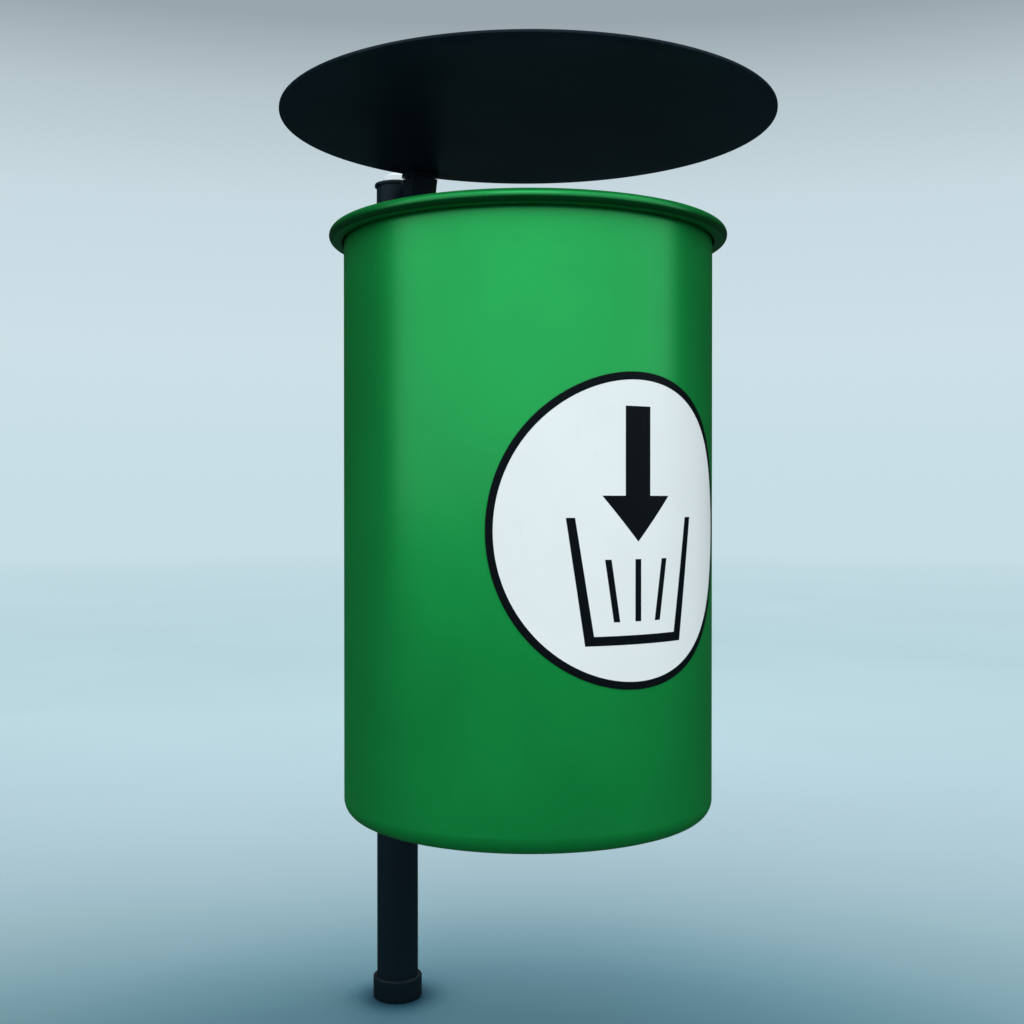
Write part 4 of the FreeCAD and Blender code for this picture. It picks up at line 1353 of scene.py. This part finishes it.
@dataclass
class Fasteners:
    """Hexagon bolts and nuts, dome-headed bolts and washers, each modelled once and copied."""
    flats: float = 0.0130
    head: float = 0.0053
    nut: float = 0.0065
    shank: float = 0.0040
    pitch: float = 0.00125
    dome: float = 0.0085
    dome_height: float = 0.0036
    dome_ease: float = 0.0002
    neck: float = 0.0005
    neck_rise: float = 0.577
    face: float = 0.475
    corner_slope: float = 30.0
    thread_turns: int = 14
    thread_depth: float = 0.00055
    crest_gap: float = 0.00006
    bore_gap: float = 0.00005
    bore_ease: float = 0.0005
    washer_ease: float = 0.00025
    washer_gap: float = 0.0003

    def hexagon(self, height: float) -> Obj:
        """A hexagonal blank standing on the origin, with its corners turned down at both ends.

        Args:
            height: its height.

        Returns:
            The mesh object.
        """
        reach = self.flats / math.sqrt(3)
        face = self.flats * self.face
        drop = (reach - face) * math.tan(math.radians(self.corner_slope))
        rise = self.neck * self.neck_rise
        blank = cylinder(reach, (0, 0, 0), (0, 0, 1), height, 6)
        lens = Section(0, 0).to(face, 0).to(reach + self.neck, drop + rise)
        lens.to(reach + self.neck, height - drop - rise).to(face, height).to(0, height)
        return cut_away(blank, lens.turned((0, 0), 48, closed=False), "INTERSECT")

    def threaded(self, length: float) -> Obj:
        """A bolt's shank along +Z, whose last part has thread ridges and an eased end.

        Args:
            length: its length.

        Returns:
            The mesh object.
        """
        crest = self.shank - self.crest_gap
        valley = self.shank - self.thread_depth
        plain = max(0.0, length - self.thread_turns * self.pitch)
        section = Section(0, 0).to(crest, 0).to(crest, plain)
        height = plain
        while height + self.pitch < length - self.pitch / 2:
            section.to(valley, height + self.pitch / 2).to(crest, height + self.pitch)
            height += self.pitch
        section.to(valley, length).to(0, length)
        return section.turned((0, 0), 28, closed=False)

    def hex_bolt(self, length: float) -> Obj:
        """A hexagon bolt whose seat is at the origin, whose shank is along +Z and head along -Z.

        Args:
            length: the shank's length.

        Returns:
            The mesh object.
        """
        head = self.hexagon(self.head)
        head.data.transform(Matrix.Translation((0, 0, -self.head)))
        return smooth(joined([head, self.threaded(length)]))

    def dome_bolt(self, length: float) -> Obj:
        """A dome-headed bolt whose seat is at the origin, whose shank is along +Z and head along -Z.

        Args:
            length: the shank's length.

        Returns:
            The mesh object.
        """
        ball = (self.dome**2 + self.dome_height**2) / (2 * self.dome_height)
        reach = math.degrees(math.asin((ball - self.dome_height) / ball))
        section = Section(0, 0).to(self.dome - self.dome_ease, 0)
        section.arc(0, ball - self.dome_height, ball, -reach, -90, 12)
        head = section.turned((0, 0), 48, closed=False)
        return smooth(joined([head, self.threaded(length)]))

    def hex_nut(self) -> Obj:
        """A hexagon nut standing on the origin, with its bore eased at both ends.

        Returns:
            The mesh object.
        """
        bore = self.shank + self.bore_gap
        ease = self.bore_ease
        blank = self.hexagon(self.nut)
        tool = Section(0, -ease).to(bore + 2 * ease, -ease).to(bore, ease).to(bore, self.nut - ease)
        tool.to(bore + 2 * ease, self.nut + ease).to(0, self.nut + ease)
        return smooth(cut_away(blank, tool.turned((0, 0), 32, closed=False)))

    def washer(self, outer: float, inner: float, height: float) -> Obj:
        """A washer standing on the origin, with its stamped edge rounded.

        Args:
            outer: its outer radius.
            inner: its inner radius.
            height: its thickness.

        Returns:
            The mesh object.
        """
        ease = self.washer_ease
        section = Section(inner, 0).to(outer - ease, 0).to(outer, ease).to(outer, height - ease)
        section.to(outer - ease, height).to(inner + ease, height).to(inner, height - ease)
        return section.turned((0, 0), 40)

    def spread_over(self, made: Obj, node: str, found: Sequence[Solid], from_high: bool, seat: float,
                    name: str) -> None:
        """Copies a modelled fastener to every solid of a node.

        Args:
            made: the modelled fastener, along +Z.
            node: the CAD node it stands for.
            found: the node's solids.
            from_high: whether its +Z runs from the solid's high end to its low end.
            seat: how far its origin is from that end.
            name: the finished piece's name.
        """
        copies = []
        for solid in found:
            start = solid.at(solid.high - seat) if from_high else solid.at(solid.low + seat)
            copies.append(placed_copy(made, aim(start, -solid.axis if from_high else solid.axis)))
        discard(made)
        dress(smooth(joined(copies)), name, Body.STAND, Slot.ZINC, [node])

    def build(self) -> None:
        """Builds and dresses every bolt, nut and washer of the brackets."""
        low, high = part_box("base_pan")
        centre = (low + high) / 2

        def radial(middle: Vector) -> Vector:
            """The direction from the bin's axis to a solid."""
            return Vector((middle.x - centre.x, middle.y - centre.y, 0)).normalized()

        def back(_: Vector) -> Vector:
            """The direction of the clamp bolts."""
            return Vector((0, 1, 0))

        for node, axis_of, make, from_high, seat, name in (
                ("clamp_bolts", back, self.hex_bolt, True, self.head, "clamp_hex_bolts"),
                ("saddle_bolts", radial, self.dome_bolt, False, self.dome_height, "saddle_dome_bolts")):
            found = solids(node, axis_of)
            length = found[0].high - found[0].low - seat
            self.spread_over(make(length), node, found, from_high, seat, name)
        for node, axis_of in (("clamp_nuts", back), ("saddle_nuts", radial)):
            self.spread_over(self.hex_nut(), node, solids(node, axis_of), False, 0.0, node + "_hex")
        for node, axis_of in (("clamp_washers", back), ("saddle_washers", radial)):
            found = solids(node, axis_of)
            washer = self.washer(2 * self.shank, self.shank + self.washer_gap, found[0].high - found[0].low)
            self.spread_over(washer, node, found, False, 0.0, node + "_stamped")


@dataclass
class HoodArm:
    """The upright arm behind the rim, its flared head, its rubber pad and the hinge pin."""
    wall: float = 0.0020
    corner: float = 0.0022
    weld: float = 0.0019
    weld_sink: float = 0.3
    neck_weld: float = 0.6
    head_edge: float = 0.0007
    pad_edge: float = 0.0006

    def upright(self) -> Obj:
        """The arm's rectangular tube, open at both ends, with rounded corners.

        Returns:
            The mesh object.
        """
        low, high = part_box("hood_arm")
        size = high - low
        deselect()
        bpy.ops.mesh.primitive_cube_add(size=1.0, location=(low + high) / 2)
        arm = bpy.context.active_object
        arm.scale = size
        settle(arm)
        edit_faces(arm, lambda face: abs(face.normal.z) > 0.5)
        bpy.ops.mesh.inset(thickness=self.wall, depth=0.0)
        bpy.ops.mesh.bridge_edge_loops()
        bpy.ops.object.mode_set(mode="OBJECT")
        close_mesh(arm)
        return smooth(rounded(arm, self.corner, 5, 60.0))

    def welds(self) -> Obj:
        """The weld runs round the arm's foot and under its head.

        Returns:
            The runs as one mesh object.
        """
        low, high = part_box("hood_arm")
        foot = low.z + self.weld * self.weld_sink
        neck = high.z
        inset = self.corner
        thin = self.weld * self.neck_weld
        runs = []
        for y in (low.y, high.y):
            for height, radius in ((neck, thin), (foot, self.weld)):
                runs.append(ripple_run((low.x + inset, y, height), (high.x - inset, y, height), radius))
        for x in (low.x, high.x):
            runs.append(ripple_run((x, low.y + inset, neck), (x, high.y - inset, neck), thin))
        return joined(runs)

    def build(self) -> None:
        """Builds and dresses the arm's pieces."""
        dress(self.upright(), "hood_upright", Body.STAND, Slot.DARK, ["hood_arm"])
        dress(self.welds(), "hood_upright_welds", Body.STAND, Slot.DARK, finish=WELD_COAT)
        dress(softened("arm_head", self.head_edge), "flared_head", Body.STAND, Slot.DARK, ["arm_head"])
        dress(softened("hood_rest_pad", self.pad_edge), "hood_pad", Body.STAND, Slot.RUBBER,
              ["hood_rest_pad"])
        refinish(Slot.STAINLESS, "hood_hinge_pin", "hood_hinge_clip")


@dataclass
class Hood:
    """The flat round rain hood and the hinge shoe under its back edge."""
    edge: float = 0.0008
    shoe_edge: float = 0.0006
    rings: Sequence[float] = (0.25, 0.5, 0.75, 0.92)

    def disc(self) -> Obj:
        """The hood's plate, with its rim eased all round.

        Returns:
            The mesh object.
        """
        low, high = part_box("hood_disc")
        centre = (low + high) / 2
        radius = (high.x - low.x) / 2
        section = Section(0, low.z)
        for share in self.rings:
            section.to(radius * share, low.z)
        section.arc(radius - self.edge, low.z + self.edge, self.edge, -90, 0, 5)
        section.arc(radius - self.edge, high.z - self.edge, self.edge, 0, 90, 5)
        for share in reversed(self.rings):
            section.to(radius * share, high.z)
        section.to(0, high.z)
        return section.turned((centre.x, centre.y), 192, closed=False)

    def build(self) -> None:
        """Builds and dresses the hood's pieces."""
        dress(self.disc(), "rain_hood", Body.HOOD, Slot.DARK, ["hood_disc"])
        dress(softened("hood_shoe", self.shoe_edge), "hinge_shoe", Body.HOOD, Slot.DARK, ["hood_shoe"])
        refinish(Slot.ZINC, "hood_screws")


@dataclass
class Liner:
    """The lift-out galvanised can with its handles."""
    wall: float = 0.0010
    roll: float = 0.0040
    swage: float = 0.0016
    swage_half: float = 0.0065
    swages: Sequence[float] = (0.28, 0.66)
    swage_steps: int = 8
    base_inner: float = 0.00005
    lug_edge: float = 0.0005

    def can(self) -> Obj:
        """The liner's wall with its rolled rim and two stiffening swages.

        Returns:
            The mesh object.
        """
        low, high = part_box("liner_shell")
        base_low, base_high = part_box("liner_base")
        centre = (low + high) / 2
        inner = (base_high.x - base_low.x) / 2 + self.base_inner
        outer = inner + self.wall
        near = inner + self.roll
        far = max((high.x - low.x) / 2 - self.roll, near)
        mid = high.z - self.roll
        tight = self.roll - self.wall
        heights = [low.z + (high.z - low.z) * share for share in self.swages]
        section = Section(inner, low.z)
        for height in heights:
            self.bulge(section, inner, height, 1)
        section.arc(near, mid, self.roll, 180, 90).arc(far, mid, self.roll, 90, -90, 16)
        section.arc(far, mid, tight, -90, 90, 16).arc(near, mid, tight, 90, 180)
        for height in reversed(heights):
            self.bulge(section, outer, height, -1)
        section.to(outer, low.z)
        return section.turned((centre.x, centre.y), 160)

    def bulge(self, section: Section, radius: float, height: float, way: int) -> None:
        """Adds one outward swage to a section, drawn upwards or downwards.

        Args:
            section: the section to add to.
            radius: the wall's radius there.
            height: the swage's middle.
            way: 1 when drawn upwards, -1 when drawn downwards.
        """
        for step in range(-self.swage_steps, self.swage_steps + 1):
            share = step / self.swage_steps
            out = self.swage * (1 + math.cos(math.pi * share)) / 2
            section.to(radius + out, height + way * share * self.swage_half)

    def build(self) -> None:
        """Builds and dresses the liner's pieces."""
        dress(self.can(), "liner_can", Body.LINER, Slot.GALVANISED, ["liner_shell"])
        dress(softened("handle_lugs", self.lug_edge), "liner_lugs", Body.LINER, Slot.GALVANISED,
              ["handle_lugs"])
        refinish(Slot.GALVANISED, "liner_base")
        refinish(Slot.ZINC, "lug_rivets")
        refinish(Slot.STAINLESS, "handle_right", "handle_left")


@dataclass
class Studio:
    """The floor, the air round it, the soft lights and the camera.

    The air is pale to look at. It lights evenly from above, and its mirror image in gloss is a wide
    bank of soft light in front of the bin.
    """
    lens: float = 44.755
    sensor: float = 36.0
    eye: Sequence[float] = (-0.708, -1.429, 0.616)
    heading: Sequence[float] = (0.5225, 0.8526)
    tilt: float = -0.418
    floor_radius: float = 80.0
    # The floor's painted shadow: a wide soft one ahead of the bin, one under its body and a tight one round
    # the foot.
    shade_ahead: float = 0.30
    shade_squash: float = 0.4
    shade_reach: float = 2.4
    body_centre: float = -0.305
    body_reach: float = 1.0
    foot_reach: float = 0.2
    floor_shade: Sequence[Stop] = (
        (0.0, (0.122, 0.215, 0.254)), (0.243, (0.132, 0.226, 0.265)), (0.289, (0.145, 0.245, 0.278)),
        (0.355, (0.168, 0.270, 0.310)), (0.427, (0.197, 0.305, 0.346)), (0.50, (0.225, 0.328, 0.372)),
        (0.637, (0.262, 0.372, 0.414)), (0.79, (0.300, 0.405, 0.455)), (1.03, (0.342, 0.445, 0.492)),
        (1.35, (0.370, 0.475, 0.520)), (2.40, (0.405, 0.527, 0.565)))
    body_shade: Sequence[Stop] = (
        (0.20, (0.62, 0.80, 0.86)), (0.34, (0.66, 0.82, 0.89)), (0.46, (0.78, 0.90, 0.94)),
        (0.62, (0.94, 0.985, 1.0)), (0.85, (1.0, 1.0, 1.0)))
    foot_shade: Sequence[Stop] = (
        (0.030, (0.18, 0.34, 0.44)), (0.040, (0.36, 0.52, 0.60)), (0.052, (0.64, 0.77, 0.81)),
        (0.070, (0.92, 0.96, 0.97)), (0.10, (1.0, 1.0, 1.0)))
    fade: Sequence[float] = (2.5, 14.0)
    haze: Colour = (0.565, 0.730, 0.791)
    sky: Sequence[Stop] = (
        (0.0, (0.565, 0.730, 0.791)), (0.12, (0.610, 0.745, 0.800)), (0.23, (0.578, 0.694, 0.753)),
        (0.30, (0.473, 0.565, 0.610)), (0.352, (0.319, 0.381, 0.418)))
    overhead: Colour = (1.16, 1.25, 1.28)
    # Painted reflection: the dim glow that glossy rays see in place of the floor.
    floor_gloss: Colour = (0.030, 0.055, 0.060)
    bank: Colour = (1.46, 1.72, 1.84)
    bank_turn: float = 4.5
    bank_half: float = 91.5
    bank_soft: float = 7.0
    bank_rest: float = 0.015
    light_colour: Colour = (0.95, 1.0, 1.0)
    light_target: Sequence[float] = (0, -0.3, 0.85)

    def camera(self) -> None:
        """The camera at the front left of the bin, just above the middle of its wall."""
        data = bpy.data.cameras.new("studio_camera")
        data.lens = self.lens
        data.sensor_width = self.sensor
        camera = bpy.data.objects.new("studio_camera", data)
        bpy.context.scene.collection.objects.link(camera)
        flat = Vector((*self.heading, 0)).normalized()
        look = flat + Vector((0, 0, math.tan(math.radians(self.tilt))))
        camera.location = self.eye
        camera.rotation_euler = look.to_track_quat("-Z", "Y").to_euler()
        bpy.context.scene.camera = camera

    def floor(self) -> None:
        """A wide pale floor that fades into the air, with painted soft shadow in front of the bin, under it
        and round the foot.
        """
        deselect()
        bpy.ops.mesh.primitive_circle_add(vertices=96, radius=self.floor_radius, fill_type="NGON")
        floor = bpy.context.active_object
        floor.name = "studio_floor"
        tree = Tree("pale_floor")
        heading = Vector((*self.heading, 0)).normalized()
        distance = tree.distance(Vector((0, 0, 0)), heading)
        ahead = tree.distance(-self.shade_ahead * heading, heading, self.shade_squash)
        under = tree.distance(Vector((0, self.body_centre, 0)), heading)
        # Painted shadow: three ramps darken the floor's colour ahead of the bin, under its body and round the
        # post's foot.
        base = tree.ramp(ahead, self.shade_reach, self.floor_shade)
        for value, reach, stops in ((under, self.body_reach, self.body_shade),
                                    (distance, self.foot_reach, self.foot_shade)):
            base = tree.vector("MULTIPLY", base, tree.ramp(value, reach, stops))
        cloud = tree.spread(tree.noise(0.8, 3.0), 0.3, 0.7, 0.97, 1.03)
        tree.set(Base_Color=tree.vector("SCALE", base, cloud), Roughness=0.8, Specular_IOR_Level=0.1)
        tree.bump((tree.noise(90.0, 3.0), 0.00005))
        glow, floor_reflection_glow = tree.add("Emission"), tree.add("Emission")
        tree.link(self.haze, glow.inputs["Color"])
        tree.link(self.floor_gloss, floor_reflection_glow.inputs["Color"])
        faded = tree.either(tree.spread(distance, *self.fade, 0.0, 1.0), tree.shader.outputs[0],
                            glow.outputs[0])
        # Painted reflection: glossy rays see the floor as a dim glow of floor_gloss in place of its lit
        # colour.
        glossy = tree.add("LightPath").outputs["Is Glossy Ray"]
        tree.link(tree.either(glossy, faded, floor_reflection_glow.outputs[0]), tree.kept("OUTPUT_MATERIAL").inputs["Surface"])
        floor.data.materials.append(tree.material)

    def bank_strength(self, graph: Graph, direction: Socket) -> Socket:
        """How bright the bank of light is in a direction.

        Args:
            graph: the world's nodes.
            direction: the direction's socket.

        Returns:
            The strength's socket.
        """
        parts = graph.parts(direction)
        x, y = parts.outputs["X"], parts.outputs["Y"]
        back = Vector((-self.heading[0], -self.heading[1], 0)).normalized()
        centre = Matrix.Rotation(math.radians(self.bank_turn), 3, "Z") @ back
        level, along = (graph.calc("ADD", graph.calc("MULTIPLY", x, a), graph.calc("MULTIPLY", y, b))
                        for a, b in ((x, y), (centre.x, centre.y)))
        facing = graph.calc("DIVIDE", along, graph.calc("MAXIMUM", graph.calc("SQRT", level), MM))
        ends = [math.cos(math.radians(self.bank_half + way * self.bank_soft)) for way in (1, -1)]
        return graph.spread(facing, *ends, self.bank_rest, 1.0, "SMOOTHSTEP")

    def world(self) -> None:
        """The air: a pale fade to look at, even light from above, and a wide bank seen in gloss."""
        world = bpy.data.worlds.new("studio_air")
        bpy.context.scene.world = world
        world.use_nodes = True
        graph = Graph(world.node_tree)
        direction = graph.add("TexCoord").outputs["Generated"]
        plain = graph.kept("BACKGROUND")
        seen, gloss = graph.add("Background"), graph.add("Background")
        graph.link(self.overhead, plain.inputs["Color"])
        graph.link(graph.ramp(graph.parts(direction).outputs["Z"], 1.0, self.sky), seen.inputs["Color"])
        graph.link(self.bank, gloss.inputs["Color"])
        graph.link(self.bank_strength(graph, direction), gloss.inputs["Strength"])
        rays = graph.add("LightPath")
        lit = graph.either(rays.outputs["Is Glossy Ray"], plain.outputs[0], gloss.outputs[0])
        whole = graph.either(rays.outputs["Is Camera Ray"], lit, seen.outputs[0])
        graph.link(whole, graph.kept("OUTPUT_WORLD").inputs["Surface"])

    def area(self, name: str, place: Point, size: tuple[float, float], power: float) -> None:
        """One soft rectangular light that looks at the bin.

        Args:
            name: the light's name.
            place: where it is.
            size: its width and height.
            power: its power in watts.
        """
        data = bpy.data.lights.new(name, "AREA")
        data.shape = "RECTANGLE"
        data.size, data.size_y = size
        data.energy = power
        data.color = self.light_colour
        light = bpy.data.objects.new(name, data)
        bpy.context.scene.collection.objects.link(light)
        light.location = place
        look = Vector(self.light_target) - Vector(place)
        light.rotation_euler = look.to_track_quat("-Z", "Y").to_euler()

    def build(self) -> None:
        """Builds the whole studio."""
        self.camera()
        self.floor()
        self.world()
        self.area("front_softbox", (-1.2, -2.2, 2.6), (1.6, 1.0), 14.0)
        self.area("back_softbox", (1.5, 1.9, 2.2), (1.6, 1.2), 10.0)
        bpy.context.scene.view_settings.view_transform = "Standard"


def main() -> None:
    """Builds every sub-assembly in order, then the studio."""
    logging.basicConfig(level=logging.INFO, format="%(name)s: %(message)s")
    Studio().build()
    body = BinBody()
    for assembly in (Post(), body, Sticker(body), Brackets(), Fasteners(), HoodArm(), Hood(), Liner()):
        assembly.build()
        LOG.info("%s is built", type(assembly).__name__)
    deselect()


if __name__ == "__main__":
    main()
